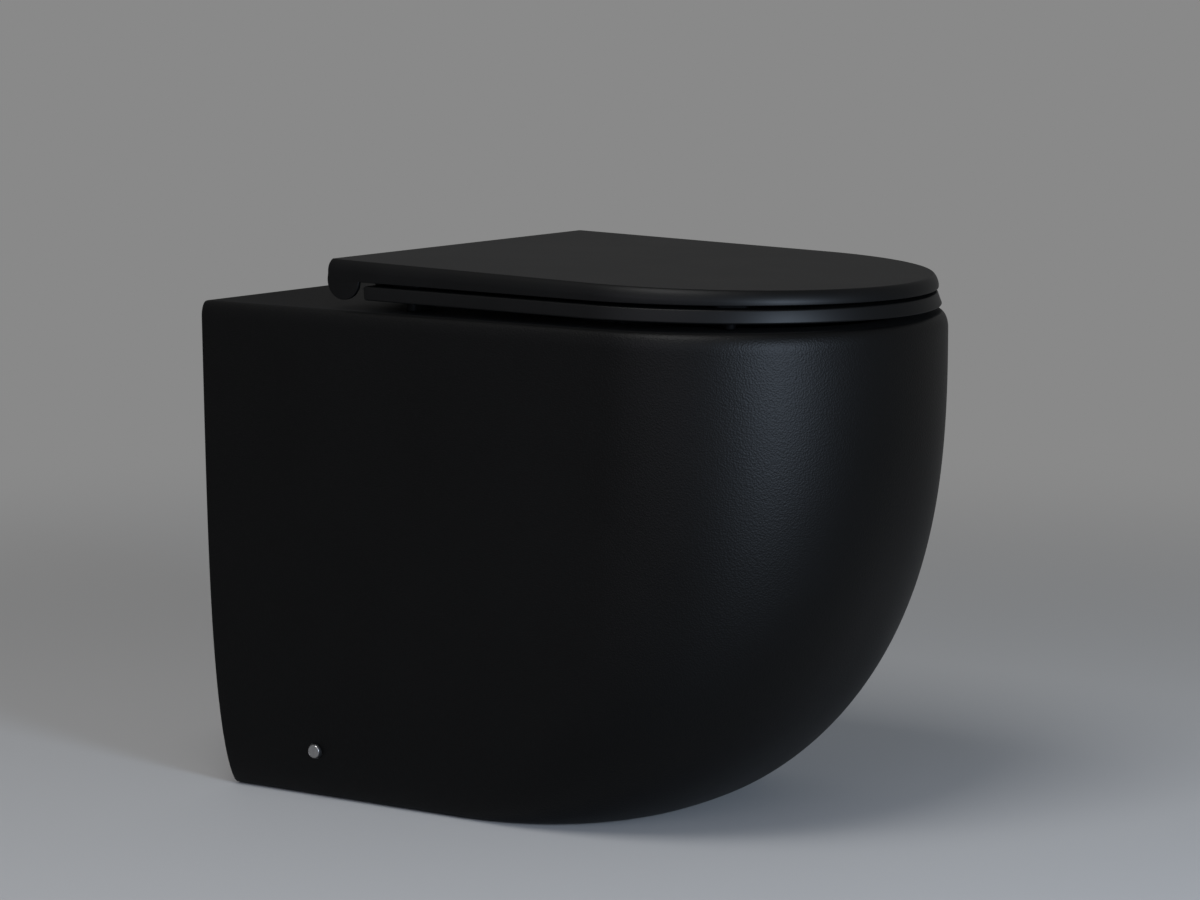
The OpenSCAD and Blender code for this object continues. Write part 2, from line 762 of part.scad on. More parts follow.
module lid() {
    color(seat_black)
    tipped(seat_fall)
    difference() {
        union() {
            lid_plate();
            lid_back();
        }
        lid_recess();
        for (side = [-1, 1]) {
            hinge_notch(side);
            pin_bore(side, notch_outer - 1, pin_outer + side_gap);
        }
    }
}
module lid_plate() {
    rings = concat(
        [raised(lid_outline(lid_edge_reach - lid_lip, lid_back_y, lid_corner), lid_underside)],
        [raised(lid_outline(lid_edge_reach, lid_back_y, lid_corner), lid_underside + lid_lip)],
        [for (i = [0 : edge_levels]) let (
            q = 90 * i / edge_levels,
            power = 2 / lid_edge_power)
            lid_ring(lid_edge_reach * pow(cos(q), power), lid_edge_drop * (1 - pow(sin(q), power)))]
    );
    ring_solid(rings, false);
}
module lid_back() {
    side_x = lid_width / 2 + lid_edge_reach - cheek_sink;
    bar_end = pin_outer + bar_wall;
    half_round(-bar_end, bar_end);
    half_round(-side_x, cheek_thick - side_x);
    half_round(side_x - cheek_thick, side_x);
}
// Half-round stretch round the hinge axis, which meets the lid's underside and its back face
module half_round(from, to) {
    translate([from, hinge_y, 0])
        rotate([90, 0, 90])
            linear_extrude(height = to - from)
                difference() {
                    circle(r = roll_radius, $fn = 64);
                    translate([-2 * roll_radius, lid_underside + 1])
                        square(4 * roll_radius);
                }
}
// Shallow recess in the underside that leaves a rim all round
module lid_recess() {
    front = lid_front - lid_rim;
    back = seat_back + lid_rim;
    rings = [
        [for (p = recess_outline(back, front)) [p[0], p[1], lid_underside - 1]],
        [for (p = recess_outline(back, front)) [p[0], p[1], lid_top_at(p[1]) - lid_skin]]
    ];
    ring_solid(rings, false);
}
function recess_outline(back, front) = d_outline(
    wall_y - back, lid_width / 2 - lid_rim, wall_y - lid_straight,
    wall_y - front, lid_roundness, lid_corner, 1
);
// Room for a hinge block and a seat lug at every opening angle
module hinge_notch(side) {
    x = side > 0 ? notch_inner : -notch_outer;
    room = barrel_radius + side_gap;
    lean = tan(lid_travel - 90);
    shelf = (block_back + 1) / cos(lid_travel - 90);
    reach = roll_radius + 6;
    translate([x, hinge_y, 0])
        rotate([90, 0, 90])
            linear_extrude(height = notch_outer - notch_inner) {
                circle(r = room, $fn = 48);
                polygon([
                    [-reach, -reach], [reach, -reach], [reach, shelf + reach * lean],
                    [0, shelf], [0, lid_underside], [-reach, lid_underside]
                ]);
            }
}

module lid_buffers() {
    color(rubber_grey)
    tipped(seat_fall) {
        height = seat_gap - touch_gap;
        inset = lid_rim / 2 + 1;
        for (angle = [front_buffer_angle, 540 - front_buffer_angle])
            buffer(angle, inset, 90, lid_underside, height);
        for (side = [-1, 1])
            side_buffer(side, inset, 90, lid_underside, height);
    }
}

// Hinge hardware on the deck

module at_hinge(side) {
    translate([side * block_x, hinge_y, 0])
        children();
}
module washer(r, hole, z, thick) {
    translate([0, 0, z])
        difference() {
            cylinder(r = r, h = thick, $fn = 64);
            translate([0, 0, -1])
                cylinder(r = hole, h = thick + 2, $fn = 48);
        }
}
shank_hole = shank_radius + 0.2;
socket_radius = 1.9;
socket_depth = 3;

module hinge_pad(side) {
    color(rubber_grey)
    at_hinge(side)
        washer(plate_radius, shank_hole, deck_height, pad_thick);
}
module hinge_plate(side) {
    color(steel)
    at_hinge(side)
        washer(plate_radius, shank_hole, deck_height + pad_thick, plate_thick);
}
module stud_bolt(side) {
    color(steel)
    at_hinge(side)
        difference() {
            union() {
                translate([0, 0, plate_top - shank_length])
                    cylinder(r = shank_radius, h = shank_length + 1, $fn = 48);
                translate([0, 0, plate_top])
                    cylinder(r = post_radius, h = groove_low - plate_top, $fn = 48);
                translate([0, 0, plate_top])
                    cylinder(r = groove_radius, h = post_height, $fn = 48);
                translate([0, 0, groove_high])
                    cylinder(r = post_radius, h = post_top - groove_high, $fn = 48);
            }
            translate([0, 0, post_top - socket_depth])
                cylinder(r = socket_radius, h = socket_depth + 1, $fn = 6);
        }
}
sleeve_length = 22;
sleeve_radius = deck_hole_radius - running_fit;
module expansion_sleeve(side) {
    color(rubber_grey)
    at_hinge(side)
        washer(sleeve_radius, shank_hole, deck_height - sleeve_length, sleeve_length);
}
nut_height = 9;
module clamp_nut(side) {
    color(steel)
    at_hinge(side)
        translate([0, 0, deck_height - sleeve_length - nut_height])
            difference() {
                cylinder(r = sleeve_radius - 0.3, h = nut_height, $fn = 6);
                translate([0, 0, -1])
                    cylinder(r = shank_radius + running_fit, h = nut_height + 2, $fn = 48);
            }
}

// Hinge blocks, which lift off the studs

button_width = 9;
button_height = 3.6;
button_proud = 2.5;
button_z = clip_z - button_height / 2;
button_fit = 0.15;
button_floor = post_radius + 1.3;
post_room = 0.3;
nose_length = 1;
nose_side_gap = 0.7;
clip_gap = 0.2;
clip_room = clip_radius + clip_wire + 0.3;

module hinge_block(side) {
    color(nylon)
    at_hinge(side)
        difference() {
            union() {
                translate([-block_width / 2, -block_front, plate_top])
                    cube([block_width, block_front + block_back, hinge_rise - (plate_top - deck_height)]);
                translate([-block_width / 2, 0, hinge_z])
                    rotate([0, 90, 0])
                        cylinder(r = barrel_radius, h = block_width, $fn = 64);
            }
            translate([-block_width / 2 - 1, 0, hinge_z])
                rotate([0, 90, 0])
                    cylinder(r = damper_radius + running_fit, h = block_width + 2, $fn = 48);
            translate([0, 0, plate_top - 1])
                cylinder(r = post_radius + running_fit, h = post_height + 1 + post_room, $fn = 48);
            clip_pocket();
            button_pocket();
        }
}
module clip_pocket() {
    half = clip_wire + clip_gap;
    translate([0, 0, clip_z - half])
        cylinder(r = clip_room, h = 2 * half, $fn = 48);
    translate([-clip_room, -block_front - 1, clip_z - half])
        cube([2 * clip_room, block_front + 1, 2 * half]);
}
module button_pocket() {
    depth = block_front - button_floor;
    translate([-button_width / 2 - button_fit, -block_front - 1, button_z - button_fit])
        cube([button_width + 2 * button_fit, depth + 1, button_height + 2 * button_fit]);
}

// Wire clip: a loop open to the front, whose legs lie in the stud's groove
clip_leg = block_front - 1.6;
module retaining_clip(side) {
    color(chrome_tone)
    at_hinge(side)
        translate([0, 0, clip_z]) {
            rotate_extrude(angle = 180, $fn = 64)
                translate([clip_radius, 0])
                    circle(r = clip_wire, $fn = 24);
            for (leg = [-1, 1])
                translate([leg * clip_radius, 0, 0])
                    rotate([90, 0, 0])
                        cylinder(r = clip_wire, h = clip_leg, $fn = 24);
        }
}

// Push button with a nose that points between the clip's legs
module release_button(side) {
    nose = 2 * (clip_radius - clip_wire - nose_side_gap);
    color("#8c1f1f")
    at_hinge(side) {
        translate([-button_width / 2, -block_front - button_proud, button_z])
            cube([button_width, button_proud + button_seat, button_height]);
        translate([-nose / 2, -block_front, clip_z - clip_wire])
            cube([nose, button_seat + nose_length, 2 * clip_wire]);
    }
}
// The button ends short of its pocket's floor, and the nose short of the stud, by the travel and a gap
button_seat = block_front - button_floor - button_travel - clip_gap;

module damper(side) {
    color(rubber_grey)
    at_hinge(side)
        translate([-block_width / 2 + 0.5, 0, hinge_z])
            rotate([0, 90, 0])
                difference() {
                    cylinder(r = damper_radius, h = block_width - 1, $fn = 48);
                    translate([0, 0, -1])
                        cylinder(r = pin_radius + running_fit, h = block_width + 2, $fn = 48);
                }
}
module hinge_pin(side) {
    color(steel)
    translate([side * pin_inner, hinge_y, hinge_z])
        rotate([0, 90 * side, 0]) {
            cylinder(r = pin_head_radius, h = pin_head, $fn = 48);
            cylinder(r = pin_radius, h = pin_outer - pin_inner, $fn = 48);
        }
}

// Floor fixing

bracket_x = half_width(0) - side_wall(0, skirt_wall) - bracket_gap;
// Height of the brackets above the side fixing
bracket_rise = 14;
bracket_top = fixing_height + bracket_rise;

// Local frame of a side fixing: +Z points outwards along the screw, zero is the bracket's outer face
module at_fixing(side) {
    translate([side * bracket_x, wall_y - fixing_setback, fixing_height])
        rotate([0, 90 * side, 0])
            children();
}
skin_x = half_width(fixing_height);
skin_out = skin_x - bracket_x;

module floor_bracket(side) {
    color(steel)
    difference() {
        translate([side * bracket_x, wall_y - fixing_setback, 0])
            mirror([side > 0 ? 1 : 0, 0, 0])
                translate([0, -bracket_length / 2, 0]) {
                    cube([bracket_thick, bracket_length, bracket_top]);
                    cube([bracket_foot, bracket_length, bracket_thick]);
                }
        at_fixing(side)
            translate([0, 0, -bracket_thick - 1])
                cylinder(r = side_screw_radius + running_fit, h = bracket_thick + 2, $fn = 48);
        for (end = [-1, 1])
            translate([
                side * (bracket_x - bracket_foot / 2 - bracket_thick / 2),
                wall_y - fixing_setback + end * floor_hole_pitch / 2, -1
            ])
                cylinder(r = floor_hole_radius, h = bracket_thick + 2, $fn = 48);
    }
}
// Sleeve from the bracket's face through the ceramic
module side_bush(side) {
    color(nylon)
    at_fixing(side)
        difference() {
            cylinder(r = side_hole_radius - running_fit, h = skin_out - head_sink, $fn = 48);
            translate([0, 0, -1])
                cylinder(r = side_screw_radius + running_fit, h = skin_out, $fn = 48);
        }
}
screw_head = 2.2;
// How far the screw's tip stands through the bracket
screw_tip = 6;
// How far the screw head's seat lies inside the skirt's skin
head_sink = 2.5;
screw_head_radius = 5;
module side_screw(side) {
    color(steel)
    at_fixing(side) {
        translate([0, 0, -bracket_thick - screw_tip])
            cylinder(r = side_screw_radius, h = bracket_thick + screw_tip + skin_out - head_sink, $fn = 48);
        translate([0, 0, skin_out - head_sink])
            cylinder(r = screw_head_radius, h = screw_head, $fn = 48);
    }
}
// Cap over the screw head: a thin-walled cup with a chamfered face
module side_cap(side) {
    inside = 0.2;
    color(chrome_tone)
    at_fixing(side)
        difference() {
            union() {
                translate([0, 0, skin_out - head_sink])
                    cylinder(r = cap_radius, h = head_sink + cap_proud - cap_chamfer, $fn = 64);
                translate([0, 0, skin_out + cap_proud - cap_chamfer])
                    cylinder(r1 = cap_radius, r2 = cap_radius - cap_chamfer, h = cap_chamfer, $fn = 64);
            }
            translate([0, 0, skin_out - head_sink - 0.5])
                cylinder(r = screw_head_radius + inside, h = screw_head + 0.5 + inside, $fn = 48);
        }
}

skirt_side(-1);  // skirt_side_left
skirt_side(1);  // skirt_side_right
skirt_front(-1);  // skirt_front_left
skirt_front(1);  // skirt_front_right
pan_deck();
bowl();
sump();
trap_dip();
trap_outlet();
flush_channel();
inlet_seal();
seat_ring();
seat_buffers();
lid();
lid_buffers();
hinge_pad(-1);  // hinge_pad_left
hinge_pad(1);  // hinge_pad_right
hinge_plate(-1);  // hinge_plate_left
hinge_plate(1);  // hinge_plate_right
stud_bolt(-1);  // stud_bolt_left
stud_bolt(1);  // stud_bolt_right
expansion_sleeve(-1);  // expansion_sleeve_left
expansion_sleeve(1);  // expansion_sleeve_right
clamp_nut(-1);  // clamp_nut_left
clamp_nut(1);  // clamp_nut_right
hinge_block(-1);  // hinge_block_left
hinge_block(1);  // hinge_block_right
retaining_clip(-1);  // retaining_clip_left
retaining_clip(1);  // retaining_clip_right
release_button(-1);  // release_button_left
release_button(1);  // release_button_right
damper(-1);  // damper_left
damper(1);  // damper_right
hinge_pin(-1);  // hinge_pin_left
hinge_pin(1);  // hinge_pin_right
floor_bracket(-1);  // floor_bracket_left
floor_bracket(1);  // floor_bracket_right
side_bush(-1);  // side_bush_left
side_bush(1);  // side_bush_right
side_screw(-1);  // side_screw_left
side_screw(1);  // side_screw_right
side_cap(-1);  // side_cap_left
side_cap(1);  // side_cap_right
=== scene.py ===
"""Dresses the back-to-wall toilet: black ceramic, a slim moulded seat and lid, and their fittings."""
import math

import bmesh
import bpy
from mathutils import Matrix, Vector

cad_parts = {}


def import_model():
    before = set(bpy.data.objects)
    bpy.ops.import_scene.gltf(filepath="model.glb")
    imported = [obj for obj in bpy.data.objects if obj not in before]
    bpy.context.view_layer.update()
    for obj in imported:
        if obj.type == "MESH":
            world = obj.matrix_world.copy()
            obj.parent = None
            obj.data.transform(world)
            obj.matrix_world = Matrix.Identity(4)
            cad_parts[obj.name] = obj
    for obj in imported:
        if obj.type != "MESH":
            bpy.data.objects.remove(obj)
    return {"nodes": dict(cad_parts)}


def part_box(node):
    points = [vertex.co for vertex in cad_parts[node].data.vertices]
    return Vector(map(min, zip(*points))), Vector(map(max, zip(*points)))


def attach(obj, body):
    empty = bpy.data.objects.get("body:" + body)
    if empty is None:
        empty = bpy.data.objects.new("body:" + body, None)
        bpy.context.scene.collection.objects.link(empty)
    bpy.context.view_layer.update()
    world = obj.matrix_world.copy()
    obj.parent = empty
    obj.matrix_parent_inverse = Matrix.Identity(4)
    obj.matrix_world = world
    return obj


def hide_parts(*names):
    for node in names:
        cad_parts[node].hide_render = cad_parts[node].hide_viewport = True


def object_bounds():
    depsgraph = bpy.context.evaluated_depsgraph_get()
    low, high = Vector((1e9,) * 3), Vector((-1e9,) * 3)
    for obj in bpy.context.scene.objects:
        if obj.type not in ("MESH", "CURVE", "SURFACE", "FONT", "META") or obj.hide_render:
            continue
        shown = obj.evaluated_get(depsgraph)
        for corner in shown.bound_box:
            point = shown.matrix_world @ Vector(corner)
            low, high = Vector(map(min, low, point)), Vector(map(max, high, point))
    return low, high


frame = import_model()
cad_low, cad_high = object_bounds()

# Sizes. The formulas of the shapes work in millimetres, and the meshes are in metres.
MM = 0.001
WALL_Y = cad_high.y / MM
PAN_LENGTH = (cad_high.y - cad_low.y) / MM
DECK_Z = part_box("pan_deck")[1].z / MM
DECK_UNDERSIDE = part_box("pan_deck")[0].z / MM
PAN_WIDTH = 366.8
SIDE_STRAIGHT = 388
FOOT_STRAIGHT = 216
FRONT_ROUNDNESS = 2.03
FOOT_ROUNDNESS = 2.33
SIDE_LEAN = 10
SIDE_TUCK = 32
SIDE_POWER = 4.11
SIDE_SOFTNESS = 1.754
FRONT_TUCK = 200
FRONT_POWER = 2.776
FRONT_SOFTNESS = 1.367
EDGE_REACH = 7
EDGE_DROP = 13
BACK_CORNER = 1
FOOT_EDGE = 4
BACK_EDGE = 1.5
SKIRT_WALL = 12
SLOPE_LIMIT = 1.4
BOWL_WALL = 10
TRAP_WALL = 9
TRAP_RADIUS = 38
RIM_WIDTH = 256
RIM_BACK = 200
RIM_FRONT_MARGIN = 36
RIM_FRONT = PAN_LENGTH - RIM_FRONT_MARGIN
RIM_EDGE = 5
RIM_ROUNDNESS = 2.15
BOWL_SOFTNESS = 1.15
SUMP_SETBACK = 337
SUMP_Z = 140

HINGE_SETBACK = 137.6
HINGE_RISE = 23.4
HINGE_Y = WALL_Y - HINGE_SETBACK
HINGE_Z = DECK_Z + HINGE_RISE
SEAT_TIP = math.radians(0.48)
ROLL_RADIUS = 15.3
LID_SIDE_INSET = 12.2
LID_WIDTH = PAN_WIDTH - 2 * LID_SIDE_INSET
LID_FRONT_INSET = 7.4
LID_FRONT = PAN_LENGTH - LID_FRONT_INSET
LID_BACK_Y = HINGE_Y + ROLL_RADIUS
LID_STRAIGHT = 369
LID_ROUNDNESS = 1.97
LID_RISE = 15.9
LID_FALL = math.radians(1.3)
LID_SLOPE = math.tan(LID_FALL - SEAT_TIP)
LID_UNDERSIDE = -0.7
LID_EDGE_REACH = 4.8
LID_EDGE_DROP = 8.6
LID_EDGE_POWER = 1.53
LID_LIP = 0.8
LID_CORNER = 1.5
LID_BACK_EDGE = 1.2
CHEEK_THICK = 3.6
BAR_END = 117.9
LID_RIM = 16
LID_SKIN = 6.5
NOTCH_INNER = 49.9
NOTCH_OUTER = 88.9
NOTCH_RADIUS = 9.4
LID_TRAVEL = 105
BLOCK_BACK = 7.5
ROLL_GAP = 4
SEAT_BACK_Y = HINGE_Y - ROLL_RADIUS - ROLL_GAP
SEAT_GAP = 2.9
SEAT_THICK = 10.6
SEAT_TOP = LID_UNDERSIDE - SEAT_GAP
SEAT_BOTTOM = SEAT_TOP - SEAT_THICK
SEAT_EDGE = 1.6
SEAT_TAPER = 2.9
SEAT_OVERHANG = 7.4
SEAT_TOP_GROW = SEAT_OVERHANG - SEAT_TAPER
SEAT_HOLE_WIDTH = 226
SEAT_HOLE_BACK = 212
SEAT_FRONT_MARGIN = 54.6
SEAT_HOLE_FRONT = LID_FRONT - SEAT_FRONT_MARGIN
LUG_INNER = 53.1
LUG_WIDTH = 13
LUG_RADIUS = 8


# Shapes of the pan

def depth_share(z):
    """Share of the way down from the deck to the floor."""
    return min(max((DECK_Z - z) / DECK_Z, 0), 1)


def tuck_share(z, power, softness):
    """Share of its tuck that a side or the front has at height z: 0 at the deck, 1 at the floor."""
    return 1 - max(1 - depth_share(z) ** power, 0) ** (1 / softness)


def half_width(z):
    """Half the pan's width at height z."""
    tuck = tuck_share(z, SIDE_POWER, SIDE_SOFTNESS)
    return PAN_WIDTH / 2 - SIDE_LEAN * depth_share(z) - SIDE_TUCK * tuck


def length_at(z):
    """The pan's length at height z."""
    return PAN_LENGTH - FRONT_TUCK * tuck_share(z, FRONT_POWER, FRONT_SOFTNESS)


def straight_at(z):
    """Length of the straight sides at height z."""
    return SIDE_STRAIGHT + (FOOT_STRAIGHT - SIDE_STRAIGHT) * (PAN_LENGTH - length_at(z)) / FRONT_TUCK


def roundness_at(z):
    """Roundness of the front's outline at height z."""
    return FRONT_ROUNDNESS + (FOOT_ROUNDNESS - FRONT_ROUNDNESS) * depth_share(z)


def level_wall(width, z, thick):
    """Wall thickness measured level, where the skin that width(z) gives slopes."""
    step = 4
    return thick * min(math.hypot(1, (width(z + step) - width(z)) / step), SLOPE_LIMIT)


CORNER_STEPS = 6
SIDE_STEPS = 34
FRONT_STEPS = 76
BACK_STEPS = 30


def half_outline(back, a, s, f, n, r, square=False):
    """Right half of a D, from the back corner along the straight side to the middle of the front.

    a is its half width, the front's curve runs from s to f with roundness n, and r is the back
    corner's radius. square leaves that corner sharp.
    """
    points = []
    for i in range(CORNER_STEPS + 1):
        q = math.pi / 2 * (1 - i / CORNER_STEPS)
        points.append((a if square else a - r + r * math.cos(q), back - r + r * math.sin(q)))
    for i in range(1, SIDE_STEPS):
        points.append((a, back - r + (s - back + r) * i / SIDE_STEPS))
    for i in range(FRONT_STEPS):
        q = math.pi / 2 * i / FRONT_STEPS
        points.append((a * math.cos(q) ** (2 / n), s + (f - s) * math.sin(q) ** (2 / n)))
    return points + [(0.0, f)]


def both_halves(half):
    return half + [(-x, y) for x, y in reversed(half[:-1])]


def back_line(back, inner_x):
    """The straight back from -inner_x to inner_x."""
    return [(inner_x * (2 * i / BACK_STEPS - 1), back) for i in range(BACK_STEPS + 1)]


def whole_outline(half, back, inner_x):
    """The whole D: both halves, then the straight back between -inner_x and inner_x."""
    return both_halves(half) + back_line(back, inner_x)


def pan_half(z, side_in=0.0, front_in=0.0, square=False, back_in=0.0):
    return half_outline(
        WALL_Y - back_in, half_width(z) - side_in, WALL_Y - straight_at(z),
        WALL_Y - length_at(z) + front_in, roundness_at(z), BACK_CORNER, square,
    )


def wall_inner_x(z):
    """Distance from the middle to the skirt's inner face at the back."""
    return half_width(z) - level_wall(half_width, z, SKIRT_WALL)


def at_height(outline, z):
    return [(x, y, z) for x, y in outline]


def oval_towards(point, middle_y, a, b, n):
    """The oval's point in the direction of a point, seen from the oval's middle."""
    x, y = point[0], point[1] - middle_y
    reach = (abs(x / a) ** n + abs(y / b) ** n) ** (1 / n)
    return x / reach, middle_y + y / reach


RIM_MIDDLE = WALL_Y - (RIM_BACK + RIM_FRONT) / 2
RIM_HALF = (RIM_FRONT - RIM_BACK) / 2


def bowl_growth(z):
    """How far the bowl has opened from the sump, 0, to the rim, 1."""
    u = min(max((DECK_UNDERSIDE - z) / (DECK_UNDERSIDE - SUMP_Z), 0), 1)
    return max(1 - u * u, 0) ** (1 / BOWL_SOFTNESS)


def bowl_ring(base, z, wall):
    """The bowl's section at height z, with one point for each point of the outline base."""
    g = bowl_growth(z)
    a = TRAP_RADIUS + (RIM_WIDTH / 2 - TRAP_RADIUS) * g + wall
    b = TRAP_RADIUS + (RIM_HALF - TRAP_RADIUS) * g + wall
    middle = WALL_Y - SUMP_SETBACK + (RIM_MIDDLE - WALL_Y + SUMP_SETBACK) * g
    n = 2 + (RIM_ROUNDNESS - 2) * g
    shift = middle - RIM_MIDDLE
    return [(*oval_towards((x, y + shift), middle, a, b, n), z) for x, y in base]


# Meshes

CREASE = math.radians(35)  # edges sharper than this stay crisp


def inside_box(point):
    """The point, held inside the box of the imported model."""
    return [min(max(c, cad_low[k]), cad_high[k]) for k, c in enumerate(point)]


class Solid:
    """Collects a closed mesh from bands of rings, in millimetres."""

    def __init__(self):
        self.mesh = bmesh.new()

    def row(self, points):
        return [self.mesh.verts.new([c * MM for c in p]) for p in points]

    def band(self, rings, closed=True, zone=0, loop=False):
        """Faces between neighbouring rings.

        closed says that each ring is a loop, and loop that the last ring joins the first.
        """
        rows = [self.row(ring) for ring in rings]
        if loop:
            rows.append(rows[0])
        for lower, upper in zip(rows, rows[1:]):
            count = len(lower)
            for i in range(count if closed else count - 1):
                j = (i + 1) % count
                face = self.mesh.faces.new((lower[i], lower[j], upper[j], upper[i]))
                face.material_index = zone
        return rows

    def cap(self, ring, zone=0):
        face = self.mesh.faces.new(self.row(ring))
        face.material_index = zone

    def prism(self, rings, zone=0):
        """A closed stretch through the rings, with both ends capped."""
        self.band(rings, zone=zone)
        self.cap(rings[0], zone)
        self.cap(rings[-1], zone)

    def finish(self, name, materials):
        """Welds the bands and makes the object."""
        weld = 1e-6
        bmesh.ops.remove_doubles(self.mesh, verts=self.mesh.verts, dist=weld)
        bmesh.ops.dissolve_degenerate(self.mesh, edges=self.mesh.edges, dist=weld)
        bmesh.ops.recalc_face_normals(self.mesh, faces=self.mesh.faces)
        return from_bmesh(name, self.mesh, materials)


def held(piece):
    """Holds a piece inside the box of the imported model."""
    for vertex in piece.data.vertices:
        vertex.co = inside_box(vertex.co)
    return piece


def from_bmesh(name, mesh, materials):
    data = bpy.data.meshes.new(name)
    mesh.to_mesh(data)
    mesh.free()
    for material in materials:
        data.materials.append(material)
    made = bpy.data.objects.new(name, data)
    bpy.context.scene.collection.objects.link(made)
    shade(made)
    return made


def shade(piece):
    """Smooth shading, with the hard edges kept crisp."""
    piece.data.polygons.foreach_set("use_smooth", [True] * len(piece.data.polygons))
    piece.data.set_sharp_from_angle(angle=CREASE)


def carve(piece, others, operation="DIFFERENCE"):
    """Cuts the other objects out of a piece, or joins them to it, and removes them."""
    for other in others:
        cut = piece.modifiers.new("carve", "BOOLEAN")
        cut.object = other
        cut.operation = operation
        cut.solver = "EXACT"
    bpy.context.view_layer.update()
    graph = bpy.context.evaluated_depsgraph_get()
    carved = bpy.data.meshes.new_from_object(piece.evaluated_get(graph))
    piece.modifiers.clear()
    piece.data = carved
    for other in others:
        bpy.data.objects.remove(other)
    shade(piece)
    return piece


def turned(name, profile, place, direction, materials, steps=96, ring=False):
    """A turned piece: profile holds (distance along the axis, radius), and is a loop where ring is true."""
    aim = Vector((0, 0, 1)).rotation_difference(Vector(direction)).to_matrix()
    origin = Vector(place)
    solid = Solid()
    rings = []
    for along, radius in profile:
        circle = []
        for i in range(steps):
            q = 2 * math.pi * i / steps
            circle.append(origin + aim @ Vector((radius * math.cos(q), radius * math.sin(q), along)))
        rings.append(circle)
    solid.band(rings, loop=ring)
    if not ring:
        solid.cap(rings[0])
        solid.cap(rings[-1])
    return solid.finish(name, materials)


def rounded(corners, radius):
    """A profile with each of its corners rounded. A corner is (x, y) or (x, y, its own radius)."""
    steps = 4
    points = []
    count = len(corners)
    for k, corner in enumerate(corners):
        r = corner[2] if len(corner) > 2 else radius
        here = Vector(corner[:2])
        before = (Vector(corners[k - 1][:2]) - here).normalized()
        after = (Vector(corners[(k + 1) % count][:2]) - here).normalized()
        half = before.angle(after) / 2
        if r <= 0 or half > math.radians(89.5):
            points.append(tuple(here))
            continue
        reach = r / math.tan(half)
        start, end = here + before * reach, here + after * reach
        centre = here + (before + after).normalized() * (r / math.sin(half))
        first = start - centre
        turn = first.angle_signed(end - centre)
        for i in range(steps + 1):
            c, s = math.cos(-turn * i / steps), math.sin(-turn * i / steps)
            points.append((centre.x + first.x * c - first.y * s, centre.y + first.x * s + first.y * c))
    return points


def extruded(name, profile, x_from, x_to, materials, edge=0.6):
    """A prism along X from a profile of (y, z) points, with its end edges rounded."""
    solid = Solid()
    middle_y = sum(p[0] for p in profile) / len(profile)
    middle_z = sum(p[1] for p in profile) / len(profile)
    steps = 4
    levels = [(edge * (1 - math.sin(q)), edge * (1 - math.cos(q)))
              for q in [math.pi / 2 * i / steps for i in range(steps + 1)]]
    rings = []
    for inset, depth in reversed(levels):
        rings.append((x_from + inset, depth))
    for inset, depth in levels:
        rings.append((x_to - inset, depth))
    made = []
    for x, depth in rings:
        ring = []
        for k, (y, z) in enumerate(profile):
            before, after = profile[k - 1], profile[(k + 1) % len(profile)]
            along = Vector((after[0] - before[0], after[1] - before[1])).normalized()
            inward = Vector((-along.y, along.x))
            if inward.dot(Vector((middle_y - y, middle_z - z))) < 0:
                inward = -inward
            ring.append((x, y + inward.x * depth, z + inward.y * depth))
        made.append(ring)
    solid.band(made)
    solid.cap(made[0])
    solid.cap(made[-1])
    return solid.finish(name, materials)


def softened(node, width, materials):
    """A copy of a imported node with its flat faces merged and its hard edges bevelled."""
    mesh = bmesh.new()
    mesh.from_mesh(frame["nodes"][node].data)
    bmesh.ops.remove_doubles(mesh, verts=mesh.verts, dist=2e-6)
    bmesh.ops.dissolve_limit(mesh, angle_limit=math.radians(0.5), verts=mesh.verts, edges=mesh.edges)
    hard = [e for e in mesh.edges if e.is_manifold and e.calc_face_angle() > math.radians(30)]
    bmesh.ops.bevel(
        mesh, geom=hard, offset=width * MM, offset_type="OFFSET", segments=3, profile=0.5,
        affect="EDGES", clamp_overlap=True,
    )
    for face in mesh.faces:
        face.material_index = 0
    return from_bmesh(node + "_finished", mesh, materials)


def fit(piece, body, slot, *nodes):
    """Seats a piece on its body and lets it stand for its nodes."""
    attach(piece, body)
    if nodes:
        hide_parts(*nodes)
    return piece


# Finishes

class Wire:
    """The output of a node. Arithmetic on it adds Math nodes."""

    def __init__(self, tree, socket):
        self.tree = tree
        self.socket = socket

    def math(self, operation, a, b):
        return self.tree.node("ShaderNodeMath", {"operation": operation}, [a, b])

    def __add__(self, other):
        return self.math("ADD", self, other)

    def __sub__(self, other):
        return self.math("SUBTRACT", self, other)

    def __rsub__(self, other):
        return self.math("SUBTRACT", other, self)

    def __mul__(self, other):
        return self.math("MULTIPLY", self, other)

    __radd__ = __add__
    __rmul__ = __mul__


class Tree:
    """The nodes of a material or of the world."""

    def __init__(self, node_tree):
        self.nodes = node_tree.nodes
        self.links = node_tree.links

    def node(self, kind, settings=None, inputs=None, output=0):
        """Adds a node, sets it, fills its sockets with values or wires, and gives one of its outputs."""
        made = self.nodes.new(kind)
        for key, value in (settings or {}).items():
            setattr(made, key, value)
        pairs = inputs.items() if isinstance(inputs, dict) else enumerate(inputs or [])
        for key, value in pairs:
            self.feed(made.inputs[key], value)
        return Wire(self, made.outputs[output])

    def feed(self, socket, value):
        if isinstance(value, Wire):
            self.links.new(value.socket, socket)
        else:
            socket.default_value = value


